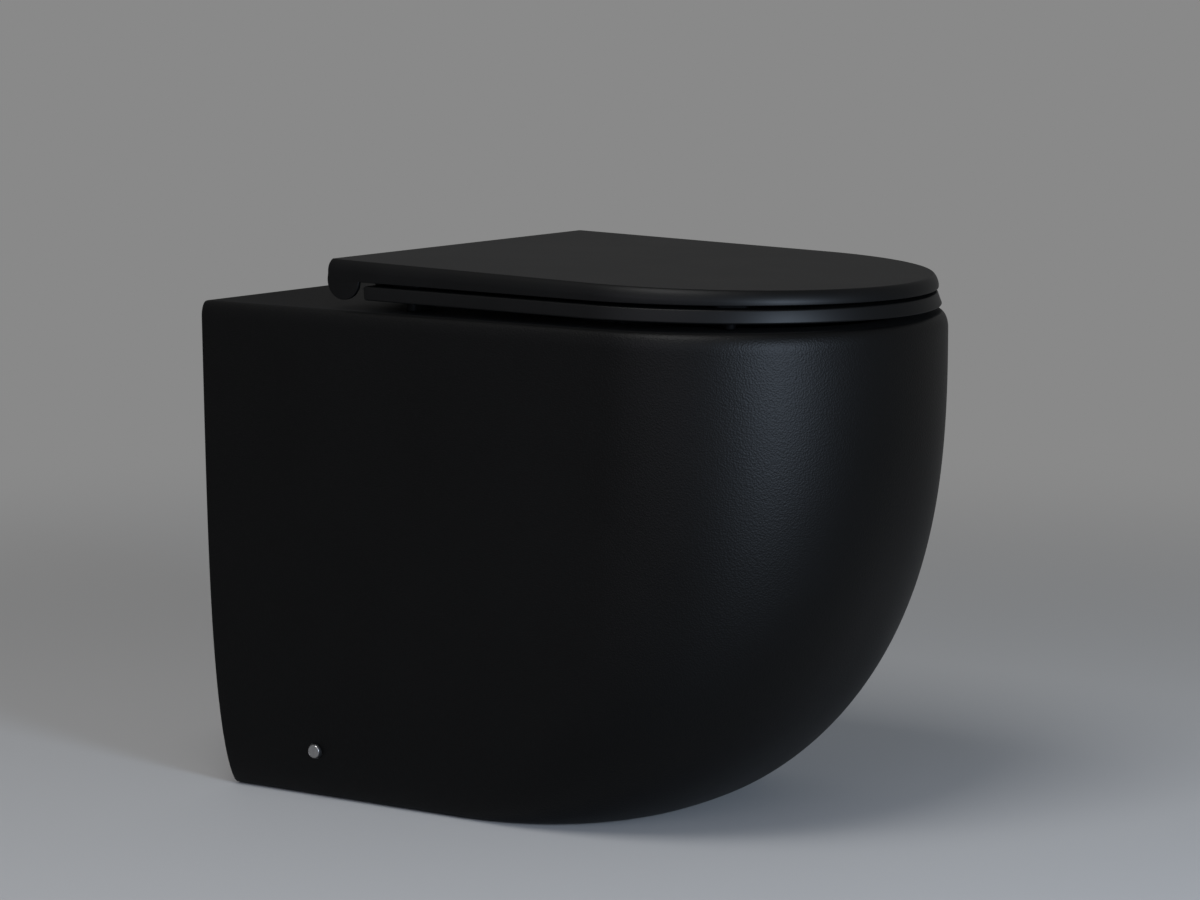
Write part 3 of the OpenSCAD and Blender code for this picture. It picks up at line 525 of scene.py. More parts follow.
class Finish(Tree):
    """A material: its surface shader, and the nodes that vary it."""

    def __init__(self, name, **constants):
        self.material = bpy.data.materials.new(name)
        self.material.use_nodes = True
        super().__init__(self.material.node_tree)
        self.surface = self.nodes["Principled BSDF"]
        for socket, value in constants.items():
            self.surface.inputs[socket.replace("_", " ")].default_value = value

    def set(self, socket, value):
        self.feed(self.surface.inputs[socket], value)

    def place(self):
        """Where a point lies on the piece, in metres."""
        return self.node("ShaderNodeTexCoord", output="Object")

    def noise(self, size, detail):
        """Soft noise of about the given grain size in millimetres, from 0 to 1."""
        sockets = {"Vector": self.place(), "Scale": 1 / (size * MM), "Detail": detail}
        return self.node("ShaderNodeTexNoise", {}, sockets)

    def cells(self, size):
        """Distance to the nearest of scattered points about size millimetres apart."""
        sockets = {"Vector": self.place(), "Scale": 1 / (size * MM), "Smoothness": 0.6}
        return self.node("ShaderNodeTexVoronoi", {"feature": "SMOOTH_F1"}, sockets, output="Distance")

    def remap(self, wire, low, high, to_low=0.0, to_high=1.0):
        return self.node("ShaderNodeMapRange", {}, [wire, low, high, to_low, to_high])

    def mix(self, factor, first, second):
        return self.node("ShaderNodeMix", {"data_type": "RGBA"}, {0: factor, 6: first, 7: second}, output=2)

    def bump(self, height, depth, strength):
        """Bump from a height between 0 and 1 that stands for depth millimetres."""
        sockets = {"Strength": strength, "Distance": depth * MM, "Height": height}
        self.set("Normal", self.node("ShaderNodeBump", {}, sockets))

    def axis(self, letter):
        return self.node("ShaderNodeSeparateXYZ", {}, [self.place()], output=letter)

    def facing_up(self):
        """1 on level tops, 0 on sides and edges."""
        normal = self.node("ShaderNodeTexCoord", output="Normal")
        upward = self.node("ShaderNodeSeparateXYZ", {}, [normal], output="Z")
        return self.remap(upward, 0.85, 0.99)


def grey(level, tint=0.0):
    """A near-neutral colour: tint shifts it towards blue."""
    return (level * (1 - tint), level, level * (1 + tint), 1.0)


def black_glaze():
    """Satin black glaze with a fine pebbled grain."""
    f = Finish("black_glaze", Specular_IOR_Level=0.129)
    cloud = f.noise(90, 3.0)
    speck = f.noise(3.0, 2.0)
    blend = f.remap(cloud * 0.7 + speck * 0.3, 0.35, 0.65)
    f.set("Base Color", f.mix(blend, grey(0.0001, 0.03), grey(0.0003, 0.05)))
    f.set("Roughness", f.remap(cloud, 0.3, 0.7, 0.47, 0.495) + f.facing_up() * 0.27)
    f.bump(f.cells(1.35) * 0.8 + f.noise(0.7, 2.0) * 0.2, 0.21, 1.0)
    return f.material


def bare_ceramic():
    """Unglazed body inside the skirt, with black overspray that fades inwards from the back."""
    f = Finish("bare_ceramic", Specular_IOR_Level=0.25)
    cloud = f.noise(30, 4.0)
    speck = f.noise(1.2, 2.0)
    clay = f.mix(f.remap(cloud, 0.3, 0.7), (0.47, 0.43, 0.37, 1), (0.58, 0.54, 0.48, 1))
    reach = f.remap(f.axis("Y") + cloud * 0.09, (WALL_Y - 46) * MM, (WALL_Y + 6) * MM)
    spray = f.remap(reach * 1.1 + (speck - 0.5) * 0.5, 0.25, 0.85)
    f.set("Base Color", f.mix(spray, clay, grey(0.012)))
    f.set("Roughness", 0.78 + (cloud - 0.5) * 0.2)
    f.bump(f.noise(0.8, 3.0) * 0.5 + f.noise(6, 2.0) * 0.5, 0.12, 0.6)
    return f.material


def moulded_seat():
    """Satin black thermoset of the seat and lid."""
    f = Finish("moulded_seat", Specular_IOR_Level=0.13)
    cloud = f.noise(70, 3.0)
    f.set("Base Color", f.mix(f.remap(cloud, 0.35, 0.65), grey(0.0008, 0.02), grey(0.0013, 0.03)))
    haze = f.remap(cloud + f.noise(5, 2.0) * 0.3, 0.45, 0.85, 0.45, 0.47)
    f.set("Roughness", haze + f.facing_up() * 0.07)
    f.bump(f.noise(0.9, 3.0) * 0.7 + f.noise(4, 2.0) * 0.3, 0.02, 0.5)
    return f.material


def moulded_rubber():
    f = Finish("moulded_rubber", Specular_IOR_Level=0.04)
    dust = f.noise(2.5, 4.0)
    f.set("Base Color", f.mix(f.remap(dust, 0.4, 0.7), grey(0.0012), grey(0.0025)))
    f.set("Roughness", 0.62 + (dust - 0.5) * 0.3)
    f.bump(f.noise(0.5, 2.0), 0.03, 0.5)
    return f.material


def dark_nylon():
    f = Finish("dark_nylon", Specular_IOR_Level=0.25)
    flow = f.noise(6, 3.0)
    f.set("Base Color", f.mix(f.remap(flow, 0.35, 0.65), grey(0.006), grey(0.010)))
    f.set("Roughness", 0.42 + (flow - 0.5) * 0.2)
    f.bump(f.noise(0.35, 2.0), 0.02, 0.5)
    return f.material


def button_plastic():
    f = Finish("button_plastic", Specular_IOR_Level=0.45)
    flow = f.noise(4, 3.0)
    f.set("Base Color", f.mix(f.remap(flow, 0.35, 0.65), grey(0.27), grey(0.33)))
    f.set("Roughness", 0.4 + (flow - 0.5) * 0.2)
    f.bump(f.noise(0.3, 2.0), 0.02, 0.5)
    return f.material


def plain_metal(name, light, dark, roughness, stretch):
    """Metal with fine marks along the direction that stretch shortens."""
    f = Finish(name, Metallic=1.0)
    place = f.node("ShaderNodeVectorMath", {"operation": "MULTIPLY"}, [f.place(), stretch])
    marks = f.node("ShaderNodeTexNoise", {}, {"Vector": place, "Scale": 900.0, "Detail": 3.0})
    cloud = f.noise(5, 3.0)
    f.set("Base Color", f.mix(f.remap(marks * 0.5 + cloud * 0.5, 0.35, 0.65), dark, light))
    f.set("Roughness", roughness + (marks - 0.5) * 0.16)
    f.bump(marks, 0.01, 0.4)
    return f.material


GLAZE = black_glaze()
BARE = bare_ceramic()
SEAT = moulded_seat()
RUBBER = moulded_rubber()
NYLON = dark_nylon()
BUTTON = button_plastic()
CHROME = plain_metal("satin_chrome", grey(0.40, -0.01), grey(0.33, -0.01), 0.24, (1.0, 1.0, 0.08))
ZINC = plain_metal("zinc_plate", grey(0.60, 0.03), grey(0.42, 0.02), 0.42, (1.0, 0.3, 0.3))
STEEL = plain_metal("stainless_steel", grey(0.66, 0.01), grey(0.52, 0.01), 0.28, (1.0, 1.0, 0.1))


# Pan

OUTSIDE, INSIDE = 0, 1
SKIRT_LEVELS = 84
BOWL_LEVELS = 56
EDGE_LEVELS = 10


def deck_outline(z, inset):
    """The deck's outline near its top, with a small radius along the back edge as well."""
    into = z - (DECK_Z - BACK_EDGE)
    back_in = BACK_EDGE - math.sqrt(max(BACK_EDGE ** 2 - max(into, 0) ** 2, 0))
    half = pan_half(z, inset, inset, back_in=back_in)
    return at_height(whole_outline(half, WALL_Y - back_in, wall_inner_x(DECK_UNDERSIDE)), z)


def deck_rings(base):
    """From the underside of the deck up over its soft edge, across the top and down round the rim."""
    rings = [deck_outline(DECK_UNDERSIDE, 0.0)]
    for i in range(EDGE_LEVELS + 1):
        q = math.pi / 2 * i / EDGE_LEVELS
        rings.append(deck_outline(DECK_Z - EDGE_DROP * (1 - math.sin(q)), EDGE_REACH * (1 - math.cos(q))))
    edge = rings[-1]
    rim = rim_ring(base, RIM_EDGE, DECK_Z)
    for share in (0.02, 0.1, 0.5, 0.9, 0.98):
        rings.append([tuple(Vector(a).lerp(Vector(b), share)) for a, b in zip(edge, rim)])
    for i in range(EDGE_LEVELS + 1):
        q = math.pi / 2 * (1 - i / EDGE_LEVELS)
        rings.append(rim_ring(base, RIM_EDGE * (1 - math.cos(q)), DECK_Z - RIM_EDGE * (1 - math.sin(q))))
    return rings


def rim_ring(base, grow, z):
    """The bowl's opening, grown all round, with one point for each point of the outline base."""
    a, b = RIM_WIDTH / 2 + grow, RIM_HALF + grow
    return [(*oval_towards(p, RIM_MIDDLE, a, b, RIM_ROUNDNESS), z) for p in base]


def bowl_heights():
    """Heights down the bowl, closer together where it turns in to the sump."""
    return [DECK_UNDERSIDE + (SUMP_Z - DECK_UNDERSIDE) * math.sin(math.pi / 2 * i / BOWL_LEVELS)
            for i in range(BOWL_LEVELS + 1)]


def skirt_heights():
    """Heights up the skirt, closer together at the foot."""
    crowding = 1.7
    return [DECK_UNDERSIDE * (i / SKIRT_LEVELS) ** crowding for i in range(SKIRT_LEVELS + 1)]


def foot_inset(z):
    """How far the rounded lower edge draws the outside in at height z."""
    return FOOT_EDGE - math.sqrt(FOOT_EDGE ** 2 - max(FOOT_EDGE - z, 0) ** 2)


def inner_skirt(z):
    side = level_wall(half_width, z, SKIRT_WALL)
    front = level_wall(length_at, z, SKIRT_WALL)
    return both_halves(pan_half(z, side, front, square=True))


def pan_casting():
    """The fired casting: skirt, deck, rim, bowl and sump as one closed skin."""
    solid = Solid()
    heights = skirt_heights()
    outer = [at_height(both_halves(pan_half(z, foot_inset(z), foot_inset(z))), z) for z in heights]
    inner = [at_height(inner_skirt(z), z) for z in heights]
    solid.band(outer, closed=False, zone=OUTSIDE)
    solid.band(inner, closed=False, zone=INSIDE)
    solid.band([outer[0], inner[0]], closed=False, zone=INSIDE)
    for end in (0, -1):
        solid.band([[ring[end] for ring in outer], [ring[end] for ring in inner]], closed=False, zone=INSIDE)
    base = whole_outline(pan_half(DECK_Z - EDGE_DROP), WALL_Y, wall_inner_x(DECK_UNDERSIDE))
    basin = [bowl_ring(base, z, 0.0) for z in bowl_heights()]
    solid.band(deck_rings(base) + basin, zone=OUTSIDE)
    shell = [bowl_ring(base, z, TRAP_WALL + (BOWL_WALL - TRAP_WALL) * bowl_growth(z)) for z in bowl_heights()]
    solid.band(shell, zone=INSIDE)
    solid.band([basin[-1], shell[-1]], zone=INSIDE)
    back = back_line(WALL_Y, wall_inner_x(DECK_UNDERSIDE))
    underside = at_height(inner_skirt(DECK_UNDERSIDE) + back, DECK_UNDERSIDE)
    solid.band([shell[0], underside], zone=INSIDE)
    return solid.finish("pan_casting", [GLAZE, BARE])


# Flush channel and holes in the casting

FLUSH_Z = 332
FLUSH_BORE = 27.5
FLUSH_OUTER = FLUSH_BORE + 8
SLOT_HALF_HEIGHT = 9
SLOT_FRONT_Y = 40
SLOT_BACK_Y = WALL_Y - RIM_BACK + 22
BLOCK_X = 77.5
DECK_HOLE_RADIUS = 7
SIDE_HOLE_RADIUS = 6.5
FIXING_SETBACK = 95.6
FIXING_Z = 41.3
SLOT_HALF_WIDTH = FLUSH_BORE - 3
INLET_MOUTH_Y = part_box("flush_channel")[1].y / MM


def circle(middle, radius):
    """Points (u, v) round a circle."""
    steps = 48
    turns = [2 * math.pi * i / steps for i in range(steps)]
    return [(middle[0] + radius * math.cos(q), middle[1] + radius * math.sin(q)) for q in turns]


def add_slot(solid):
    """Adds the wide low slot that lets the flush into the bowl."""
    offset = SLOT_HALF_WIDTH - SLOT_HALF_HEIGHT
    outline = [(x + math.copysign(offset, x), FLUSH_Z + z) for x, z in circle((0, 0), SLOT_HALF_HEIGHT)]
    solid.prism([[(x, y, z) for x, z in outline] for y in (SLOT_FRONT_Y, SLOT_BACK_Y)])


def slot_cutter():
    solid = Solid()
    add_slot(solid)
    return solid.finish("slot_cutter", [BARE])


def casting_cutter():
    """All that is cut out of the casting: the flush slot, the bolt holes and the side screw holes."""
    clear = 5
    inside_skirt = half_width(0) - 40
    solid = Solid()
    add_slot(solid)
    for side in (-1, 1):
        hole = circle((side * BLOCK_X, HINGE_Y), DECK_HOLE_RADIUS)
        solid.prism([[(x, y, z) for x, y in hole] for z in (DECK_UNDERSIDE - clear, DECK_Z + clear)])
        hole = circle((WALL_Y - FIXING_SETBACK, FIXING_Z), SIDE_HOLE_RADIUS)
        solid.prism([[(side * x, y, z) for y, z in hole] for x in (inside_skirt, PAN_WIDTH / 2)])
    return solid.finish("casting_cutter", [BARE])


def flush_channel():
    """Tube from the bowl's back wall to the mouth that takes the flush pipe."""
    start, bore_start = WALL_Y - RIM_BACK + 3, WALL_Y - RIM_BACK + 12
    end = INLET_MOUTH_Y
    near_axis = 0.5
    corners = [
        (start, FLUSH_OUTER, 0), (end, FLUSH_OUTER, 2), (end, FLUSH_BORE, 2), (bore_start, FLUSH_BORE, 1),
        (bore_start, near_axis, 0), (start, near_axis, 0),
    ]
    profile = rounded(corners, 1)
    return turned("flush_channel_cast", profile, (0, 0, FLUSH_Z), (0, 1, 0), [BARE], ring=True)


def glazed_bore(channel):
    """Gives the channel's bore and the slot at its end the black glaze of the bowl."""
    slack = 0.5
    channel.data.materials.append(GLAZE)
    for face in channel.data.polygons:
        from_axis = math.hypot(face.center.x / MM, face.center.z / MM - FLUSH_Z)
        if from_axis < FLUSH_BORE + slack:
            face.material_index = 1
    return channel


# Trap, from the sump round the dip, over the crest and out to the spigot

TRAP_BEND = 52
RISE_ANGLE = math.radians(55)
OUTLET_Z = 180
SPIGOT_RADIUS = 51
SPIGOT_LENGTH = 46
SEAL_DEPTH = 50
CREST_Z = SUMP_Z - TRAP_BEND + TRAP_RADIUS + SEAL_DEPTH + TRAP_RADIUS
SPIGOT_END_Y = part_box("trap_outlet")[1].y / MM


def arc(middle_y, middle_z, start, end, turn):
    """Stations (y, z, way ahead) round a bend."""
    steps = 26
    made = []
    for i in range(steps + 1):
        q = start + (end - start) * i / steps
        made.append((middle_y + TRAP_BEND * math.cos(q), middle_z + TRAP_BEND * math.sin(q), q + turn))
    return made


def trap_stations():
    """The trap's middle line: down round the dip, up over the crest and down to the outlet."""
    quarter = math.pi / 2
    dip_y = WALL_Y - SUMP_SETBACK + TRAP_BEND
    low_z = SUMP_Z - TRAP_BEND * math.cos(RISE_ANGLE)
    top_z = CREST_Z - TRAP_BEND * (1 - math.cos(RISE_ANGLE))
    run = (top_z - low_z) / math.sin(RISE_ANGLE)
    crest_y = dip_y + 2 * TRAP_BEND * math.sin(RISE_ANGLE) + run * math.cos(RISE_ANGLE)
    fall = math.acos(1 - (CREST_Z - OUTLET_Z) / (2 * TRAP_BEND))
    fall_y = crest_y + 2 * TRAP_BEND * math.sin(fall)
    return (
        arc(dip_y, SUMP_Z, 2 * quarter, 3 * quarter + RISE_ANGLE, quarter)
        + arc(crest_y, CREST_Z - TRAP_BEND, quarter + RISE_ANGLE, quarter - fall, -quarter)
        + arc(fall_y, OUTLET_Z + TRAP_BEND, 3 * quarter - fall, 3 * quarter, quarter)
        + [(fall_y + 4, OUTLET_Z, 4 * quarter)]
    )


def trapway():
    """The bent pipe, with its spigot as one casting."""
    columns = 72
    solid = Solid()

    def ring(station, radius):
        y, z, way = station
        points = []
        for i in range(columns):
            q = 2 * math.pi * i / columns
            across, up = radius * math.cos(q), radius * math.sin(q)
            points.append((across, y - up * math.sin(way), z + up * math.cos(way)))
        return points

    stations = trap_stations()
    rings = [ring(s, TRAP_RADIUS + TRAP_WALL) for s in stations]
    rings += [ring(s, TRAP_RADIUS) for s in reversed(stations)]
    solid.band(rings, loop=True)
    pipe = solid.finish("trapway_cast", [BARE])
    start, end = SPIGOT_END_Y - SPIGOT_LENGTH, SPIGOT_END_Y
    bore = TRAP_RADIUS + 1
    corners = [(start, SPIGOT_RADIUS, 3), (end, SPIGOT_RADIUS, 2.5), (end, bore, 1.5), (start, bore, 0.5)]
    profile = rounded(corners, 1)
    spigot = turned("spigot", profile, (0, 0, OUTLET_Z), (0, 1, 0), [BARE], ring=True)
    return carve(pipe, [spigot], "UNION")


casting = carve(pan_casting(), [casting_cutter()])
channel = glazed_bore(carve(flush_channel(), [slot_cutter()]))
fit(held(casting), "pan", "matt_black_ceramic", "skirt_side_left", "skirt_side_right", "skirt_front_left",
    "skirt_front_right", "pan_deck", "bowl", "sump")
fit(channel, "pan", "matt_black_ceramic", "flush_channel")
fit(trapway(), "pan", "matt_black_ceramic", "trap_dip", "trap_outlet")


# Seat and lid, drawn level about the hinge axis and then tipped

def tip(piece):
    """Turns a piece that was drawn with its zero height at the hinge axis to its place."""
    middle = Vector((0, HINGE_Y * MM, HINGE_Z * MM))
    to_hinge = Matrix.Translation((0, -HINGE_Y * MM, 0))
    piece.data.transform(Matrix.Translation(middle) @ Matrix.Rotation(SEAT_TIP, 4, "X") @ to_hinge)
    return held(piece)


def lid_half(grow, back, r):
    return half_outline(
        back, LID_WIDTH / 2 + grow, WALL_Y - LID_STRAIGHT,
        WALL_Y - LID_FRONT - grow, LID_ROUNDNESS, r,
    )


def seat_outline(flare, inset, z):
    """The seat's outline: flare is its growth below the upper edge, and inset draws it in for a rounding."""
    back = SEAT_BACK_Y - flare - inset
    grow = SEAT_TOP_GROW + flare - inset
    half = lid_half(grow, back, SEAT_EDGE)
    return at_height(whole_outline(half, back, LID_WIDTH / 2 + grow - SEAT_EDGE - 2), z)


SEAT_HOLE_MIDDLE = WALL_Y - (SEAT_HOLE_BACK + SEAT_HOLE_FRONT) / 2
SEAT_HOLE_HALF = (SEAT_HOLE_FRONT - SEAT_HOLE_BACK) / 2


def seat_hole(base, grow, z):
    """The seat's opening, grown all round, with one point for each point of the outline base."""
    a, b = SEAT_HOLE_WIDTH / 2 + grow, SEAT_HOLE_HALF + grow
    return [(*oval_towards(p, SEAT_HOLE_MIDDLE, a, b, RIM_ROUNDNESS), z) for p in base]


def seat_rings():
    """The seat's section, from its lower outer edge up, across the dished top and down round the hole."""
    steps = 6
    arcs = [math.pi / 2 * i / steps for i in range(steps + 1)]
    steep = [SEAT_EDGE * (1 - math.sin(q)) for q in arcs]
    slow = [SEAT_EDGE * (1 - math.cos(q)) for q in arcs]
    rings = [seat_outline(SEAT_TAPER, inset, SEAT_BOTTOM + rise) for inset, rise in zip(steep, slow)]
    rings += [seat_outline(0, inset, SEAT_TOP - drop) for inset, drop in zip(slow, steep)]
    rings.append(seat_outline(0, SEAT_EDGE + 0.5, SEAT_TOP))
    base = [(x, y) for x, y, _ in seat_outline(0, 0, 0)]
    dish_reach, dish, dish_steps = 26, 3, 14
    lip, lip_steps = 4, 9
    for i in range(dish_steps + 1):
        share = i / dish_steps
        grow = dish_reach + (lip - dish_reach) * share
        rings.append(seat_hole(base, grow, SEAT_TOP - dish * share ** 1.8))
    for i in range(1, lip_steps):
        q = math.pi * i / lip_steps
        nose = (SEAT_TOP - dish - SEAT_BOTTOM) / 2
        rings.append(seat_hole(base, lip - lip * math.sin(q), SEAT_BOTTOM + nose + nose * math.cos(q)))
    rings.append(seat_hole(base, lip, SEAT_BOTTOM))
    return rings


def seat_ring():
    solid = Solid()
    solid.band(seat_rings(), loop=True)
    seat = solid.finish("seat_moulding", [SEAT])
    lugs = [lug(side) for side in (-1, 1)]
    return tip(carve(seat, lugs, "UNION"))


def lug(side):
    """Hinge lug with its arm, as a rounded profile along X."""
    arm_top, arm_low = SEAT_TOP - 0.5, SEAT_BOTTOM + 1.5
    into_ring = 7
    reach = ROLL_RADIUS + ROLL_GAP + into_ring
    profile = [(HINGE_Y - reach, arm_low), (HINGE_Y - reach, arm_top)]
    steps = 40
    first, last = math.pi - math.asin(arm_top / LUG_RADIUS), -math.pi / 2
    for i in range(steps + 1):
        q = first + (last - first) * i / steps
        profile.append((HINGE_Y + LUG_RADIUS * math.cos(q), LUG_RADIUS * math.sin(q)))
    profile += [(HINGE_Y - 2, -LUG_RADIUS), (HINGE_Y - LUG_RADIUS, arm_low)]
    x_from = LUG_INNER if side > 0 else -LUG_INNER - LUG_WIDTH
    return extruded("lug", profile, x_from, x_from + LUG_WIDTH, [SEAT])


def lid_top_at(y):
    """Height of the lid's top above the hinge axis."""
    return LID_RISE - (LID_BACK_Y - y) * LID_SLOPE


def lid_plate():
    """The wedge of the lid: a flat underside, and a soft edge that swells out from the top's crease."""
    solid = Solid()
    rings = []
    lip_steps = 5
    for i in range(lip_steps + 1):
        q = math.pi / 2 * i / lip_steps
        outline = both_halves(lid_half(LID_EDGE_REACH - LID_LIP * (1 - math.sin(q)), LID_BACK_Y, LID_CORNER))
        rings.append(at_height(outline, LID_UNDERSIDE + LID_LIP * (1 - math.cos(q))))
    steps = 18
    power = 2 / LID_EDGE_POWER
    for i in range(steps + 1):
        q = math.pi / 2 * i / steps
        drop = 1 - math.sin(q) ** power
        back_in = LID_BACK_EDGE * (1 - drop) ** 3
        rings.append(lid_ring(LID_EDGE_REACH * math.cos(q) ** power, LID_EDGE_DROP * drop, back_in))
    onto_top = 1
    rings.append(lid_ring(-onto_top, 0, LID_BACK_EDGE + onto_top))
    solid.band(rings)
    solid.cap(rings[0])
    solid.cap(rings[-1])
    return solid.finish("lid_moulding", [SEAT])


def lid_ring(grow, drop, back_in):
    outline = both_halves(lid_half(grow, LID_BACK_Y - back_in, LID_CORNER))
    return [(x, y, lid_top_at(y) - drop) for x, y in outline]


def half_round(x_from, x_to, edge):
    """Half-round stretch about the hinge axis, under the back of the lid."""
    inside_lid = 4.7
    top = LID_UNDERSIDE + inside_lid
    start = math.pi - math.asin(top / ROLL_RADIUS)
    end = 2 * math.pi + math.asin(top / ROLL_RADIUS)
    steps = 96
    turns = [start + (end - start) * i / steps for i in range(steps + 1)]
    profile = [(HINGE_Y + ROLL_RADIUS * math.cos(q), ROLL_RADIUS * math.sin(q)) for q in turns]
    return extruded("half_round", profile, x_from, x_to, [SEAT], edge)


def lid_back():
    """The bar that holds the hinge pins, and the thin cheeks that close the lid's back corners."""
    hair = 0.05
    side_x = LID_WIDTH / 2 + LID_EDGE_REACH - hair
    return [
        half_round(-BAR_END, BAR_END, 0.8),
        half_round(-side_x, CHEEK_THICK - side_x, 0.5),
        half_round(side_x - CHEEK_THICK, side_x, 0.5),
    ]


def lid_recess():
    """Shallow recess in the lid's underside that leaves a rim all round."""
    solid = Solid()
    back = SEAT_BACK_Y - LID_RIM
    half = half_outline(back, LID_WIDTH / 2 - LID_RIM, WALL_Y - LID_STRAIGHT, WALL_Y - LID_FRONT + LID_RIM,
                        LID_ROUNDNESS, 6)
    outline = both_halves(half)
    lower = at_height(outline, LID_UNDERSIDE - 1)
    upper = [(x, y, lid_top_at(y) - LID_SKIN) for x, y in outline]
    solid.band([lower, upper])
    solid.cap(lower)
    solid.cap(upper)
    return solid.finish("recess", [SEAT])


def hinge_notch(side):
    """Room in the hinge bar for a hinge block and a seat lug at every opening angle."""
    past_upright = math.radians(LID_TRAVEL - 90)
    lean = math.tan(past_upright)
    shelf = (BLOCK_BACK + 1) / math.cos(past_upright)
    reach = ROLL_RADIUS + 6
    profile = [
        (HINGE_Y - reach, -reach), (HINGE_Y + reach, -reach), (HINGE_Y + reach, shelf + reach * lean),
        (HINGE_Y, shelf), (HINGE_Y - NOTCH_RADIUS, LID_UNDERSIDE), (HINGE_Y - reach, LID_UNDERSIDE),
    ]
    x_from = NOTCH_INNER if side > 0 else -NOTCH_OUTER
    return extruded("notch", profile, x_from, x_from + NOTCH_OUTER - NOTCH_INNER, [SEAT], 0)


def barrel_room(side):
    """Round room about the hinge axis in a notch."""
    x_from = NOTCH_INNER if side > 0 else -NOTCH_OUTER
    length = NOTCH_OUTER - NOTCH_INNER
    profile = [(0, NOTCH_RADIUS), (length, NOTCH_RADIUS)]
    return turned("barrel_room", profile, (x_from, HINGE_Y, 0), (1, 0, 0), [SEAT], steps=64)


def lid():
    plate = carve(lid_plate(), lid_back(), "UNION")
    cutters = [lid_recess()]
    for side in (-1, 1):
        cutters += [hinge_notch(side), barrel_room(side)]
    return tip(carve(plate, cutters))


fit(seat_ring(), "seat", "satin_black_seat", "seat_ring")
fit(lid(), "lid", "satin_black_seat", "lid")


# Fittings: (node, body, bevel in millimetres, finish, slot)

FITTINGS = [
    ("seat_buffers", "seat", 1.6, RUBBER, "dark_rubber"),
    ("lid_buffers", "lid", 1.0, RUBBER, "dark_rubber"),
    ("inlet_seal", "pan", 0.8, RUBBER, "dark_rubber"),
]
for side in ("left", "right"):
    FITTINGS += [
        ("hinge_pad_" + side, "pan", 0.25, RUBBER, "dark_rubber"),
        ("hinge_plate_" + side, "pan", 0.3, STEEL, "stainless_steel"),
        ("stud_bolt_" + side, "pan", 0.3, STEEL, "stainless_steel"),
        ("expansion_sleeve_" + side, "pan", 0.6, RUBBER, "dark_rubber"),
        ("clamp_nut_" + side, "pan", 0.5, STEEL, "stainless_steel"),
        ("hinge_block_" + side, "hinge_carriage", 0.4, NYLON, "dark_nylon"),
        ("retaining_clip_" + side, "hinge_carriage", 0.1, STEEL, "stainless_steel"),
        ("damper_" + side, "hinge_carriage", 0.3, NYLON, "dark_nylon"),
        ("hinge_pin_" + side, "hinge_carriage", 0.3, STEEL, "stainless_steel"),
        ("release_button_" + side, "release_" + side, 0.3, BUTTON, "button_plastic"),
        ("floor_bracket_" + side, "pan", 0.6, ZINC, "zinc_steel"),
        ("side_bush_" + side, "pan", 0.4, NYLON, "dark_nylon"),
        ("side_screw_" + side, "pan", 0.4, STEEL, "stainless_steel"),
    ]
for node, body, bevel, finish, slot_name in FITTINGS:
    fit(softened(node, bevel, [finish]), body, slot_name, node)


def side_cap(side):
    """Turned cap: a chrome disc on its end with a rounded rim and a faintly dished face, and a side in dark
    nylon that is a painted dark reflection.
    """
    node = "side_cap_" + side
    low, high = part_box(node)
    radius = (high.z - low.z) / 2 / MM
    length = (high.x - low.x) / MM
    way = 1 if side == "right" else -1
    start = (low.x if way > 0 else high.x) / MM
    disc, step, dish = 0.5, 0.65, 0.12
    outline = [
        (0, 0.2, 0), (0, radius, 0.3), (length - 2 * disc, radius, 0.25), (length - disc, radius - step, 0.1),
        (length, radius - step, 0.2),
    ]
    profile = rounded(outline, 0.2) + [(length - dish, radius - 2 * step), (length - dish, 0.2)]
    place = (start, (low.y + high.y) / 2 / MM, (low.z + high.z) / 2 / MM)
    cap = turned(node + "_turned", profile, place, (way, 0, 0), [CHROME, NYLON], steps=72)
    # painted reflection: the side takes the dark nylon finish to stand for chrome mirroring dark
    # surroundings; only the end disc stays chrome
    for face in cap.data.polygons:
        face.material_index = 1 if abs(face.center.x / MM - start) < length - disc else 0
    return cap


for side in ("left", "right"):
    fit(side_cap(side), "pan", "satin_chrome", "side_cap_" + side)


# Floor, light and camera

PALE = 0.34  # colour of the floor
SKY = 0.25  # colour of the background
FILL = 0.25  # strength of the even light from all round


def background_rays(tree):
    """1 for rays that see the background: from the camera, in gloss and through glass."""
    seen_by_camera = tree.node("ShaderNodeLightPath", output="Is Camera Ray")
    seen_in_gloss = tree.node("ShaderNodeLightPath", output="Is Glossy Ray")
    seen_through_glass = tree.node("ShaderNodeLightPath", output="Is Transmission Ray")
    return 1 - (1 - seen_by_camera) * (1 - seen_in_gloss) * (1 - seen_through_glass)


def ground_material():
    """Pale floor that fades to the colour of the world far from the object."""
    f = Finish("pale_floor", Specular_IOR_Level=0.2, Roughness=0.75)
    f.set("Base Color", grey(PALE))
    place = f.node("ShaderNodeNewGeometry", output="Position")
    distance = f.node("ShaderNodeVectorMath", {"operation": "LENGTH"}, [place], output="Value")
    fade_start, fade_end = 0.5, 2.2
    fade = {"interpolation_type": "SMOOTHERSTEP"}
    far = f.node("ShaderNodeMapRange", fade, [distance, fade_start, fade_end, 0.0, 1.0])
    glow = f.node("ShaderNodeEmission", {}, {"Color": grey(SKY), "Strength": 1.0})
    lit = Wire(f, f.surface.outputs[0])
    shader = f.node("ShaderNodeMixShader", {}, [far * background_rays(f), lit, glow])
    f.feed(f.nodes["Material Output"].inputs["Surface"], shader)
    return f.material


def floor():
    """A round floor, wide enough to reach past the camera."""
    mesh = bmesh.new()
    bmesh.ops.create_circle(mesh, cap_ends=True, segments=128, radius=14)
    made = from_bmesh("floor", mesh, [ground_material()])


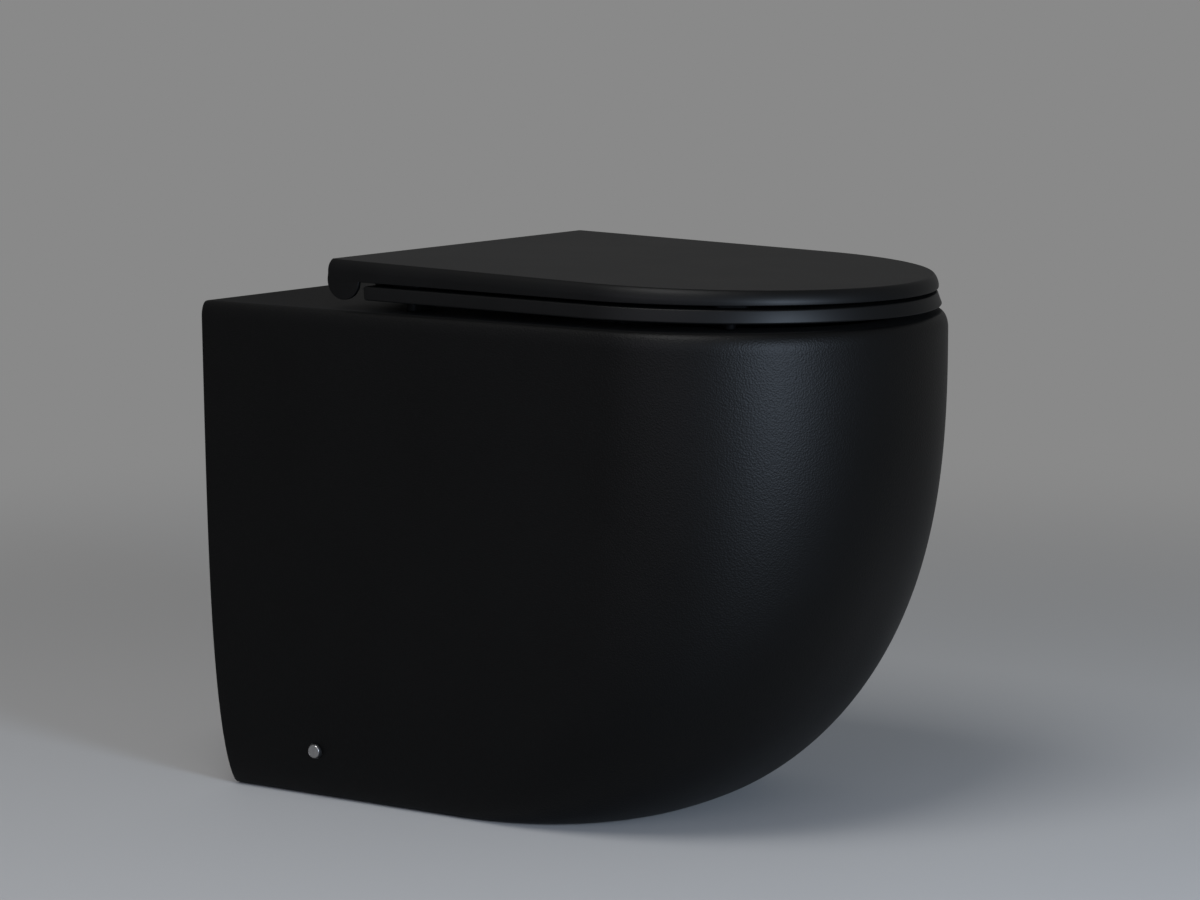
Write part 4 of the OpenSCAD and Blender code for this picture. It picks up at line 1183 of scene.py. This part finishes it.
def world(fill):
    """The world's light, and the pale background that camera and reflections see."""
    made = bpy.data.worlds.new("studio")
    made.use_nodes = True
    tree = Tree(made.node_tree)
    tree.nodes.remove(tree.nodes["Background"])
    light = tree.node("ShaderNodeBackground", {}, {"Color": grey(1.0), "Strength": fill})
    background = tree.node("ShaderNodeBackground", {}, {"Color": grey(SKY), "Strength": 1.0})
    mixed = tree.node("ShaderNodeMixShader", {}, [background_rays(tree), light, background])
    tree.feed(tree.nodes["World Output"].inputs["Surface"], mixed)
    bpy.context.scene.world = made


def softbox(name, place, aim, width, height, power, tint=(1.0, 1.0, 1.0)):
    """A soft area lamp: place, aim and size in metres, power in watts."""
    data = bpy.data.lights.new(name, "AREA")
    data.color = tint
    data.shape = "RECTANGLE"
    data.size = width
    data.size_y = height
    data.energy = power
    lamp = bpy.data.objects.new(name, data)
    lamp.location = place
    lamp.rotation_euler = (Vector(aim) - Vector(place)).to_track_quat("-Z", "Y").to_euler()
    bpy.context.scene.collection.objects.link(lamp)


def camera():
    """The camera of the photograph: where it stands, how it turns and how long its lens is."""
    azimuth, elevation, roll = (math.radians(a) for a in (-55.8395, 7.7374, -0.1947))
    focal_pixels, picture_width = 4041.5, 1200
    shift_right, shift_down, distance = -9.6079, 78.4844, 3264.9
    target = Vector((0, WALL_Y - 250, 200))
    level = math.cos(elevation)
    forward = Vector((-math.sin(azimuth) * level, math.cos(azimuth) * level, -math.sin(elevation)))
    right = forward.cross(Vector((0, 0, 1))).normalized()
    down = forward.cross(right)
    rolled_right = math.cos(roll) * right + math.sin(roll) * down
    rolled_down = -math.sin(roll) * right + math.cos(roll) * down
    centre = target - (rolled_right * shift_right + rolled_down * shift_down + forward * distance)
    data = bpy.data.cameras.new("camera")
    data.sensor_width = 36
    data.lens = focal_pixels / picture_width * data.sensor_width
    made = bpy.data.objects.new("camera", data)
    turn = Matrix((rolled_right, -rolled_down, -forward)).transposed()
    made.matrix_world = Matrix.Translation(centre * MM) @ turn.to_4x4()
    bpy.context.scene.collection.objects.link(made)
    bpy.context.scene.camera = made


floor()
world(FILL)
softbox("overhead", (-1.35, -0.1, 2.6), (0, 0, 0.2), 1.2, 1.2, 42)
softbox("front_strip", (-0.985, -2.406, 0.6), (0, -0.1, 0.5), 0.5, 1.0, 85, (0.66, 0.80, 1.0))
softbox("side_fill", (-2.78, -0.31, 0.95), (0, 0, 0.3), 2.2, 1.8, 24, (0.88, 0.88, 1.0))
camera()
bpy.context.scene.view_settings.view_transform = "Standard"
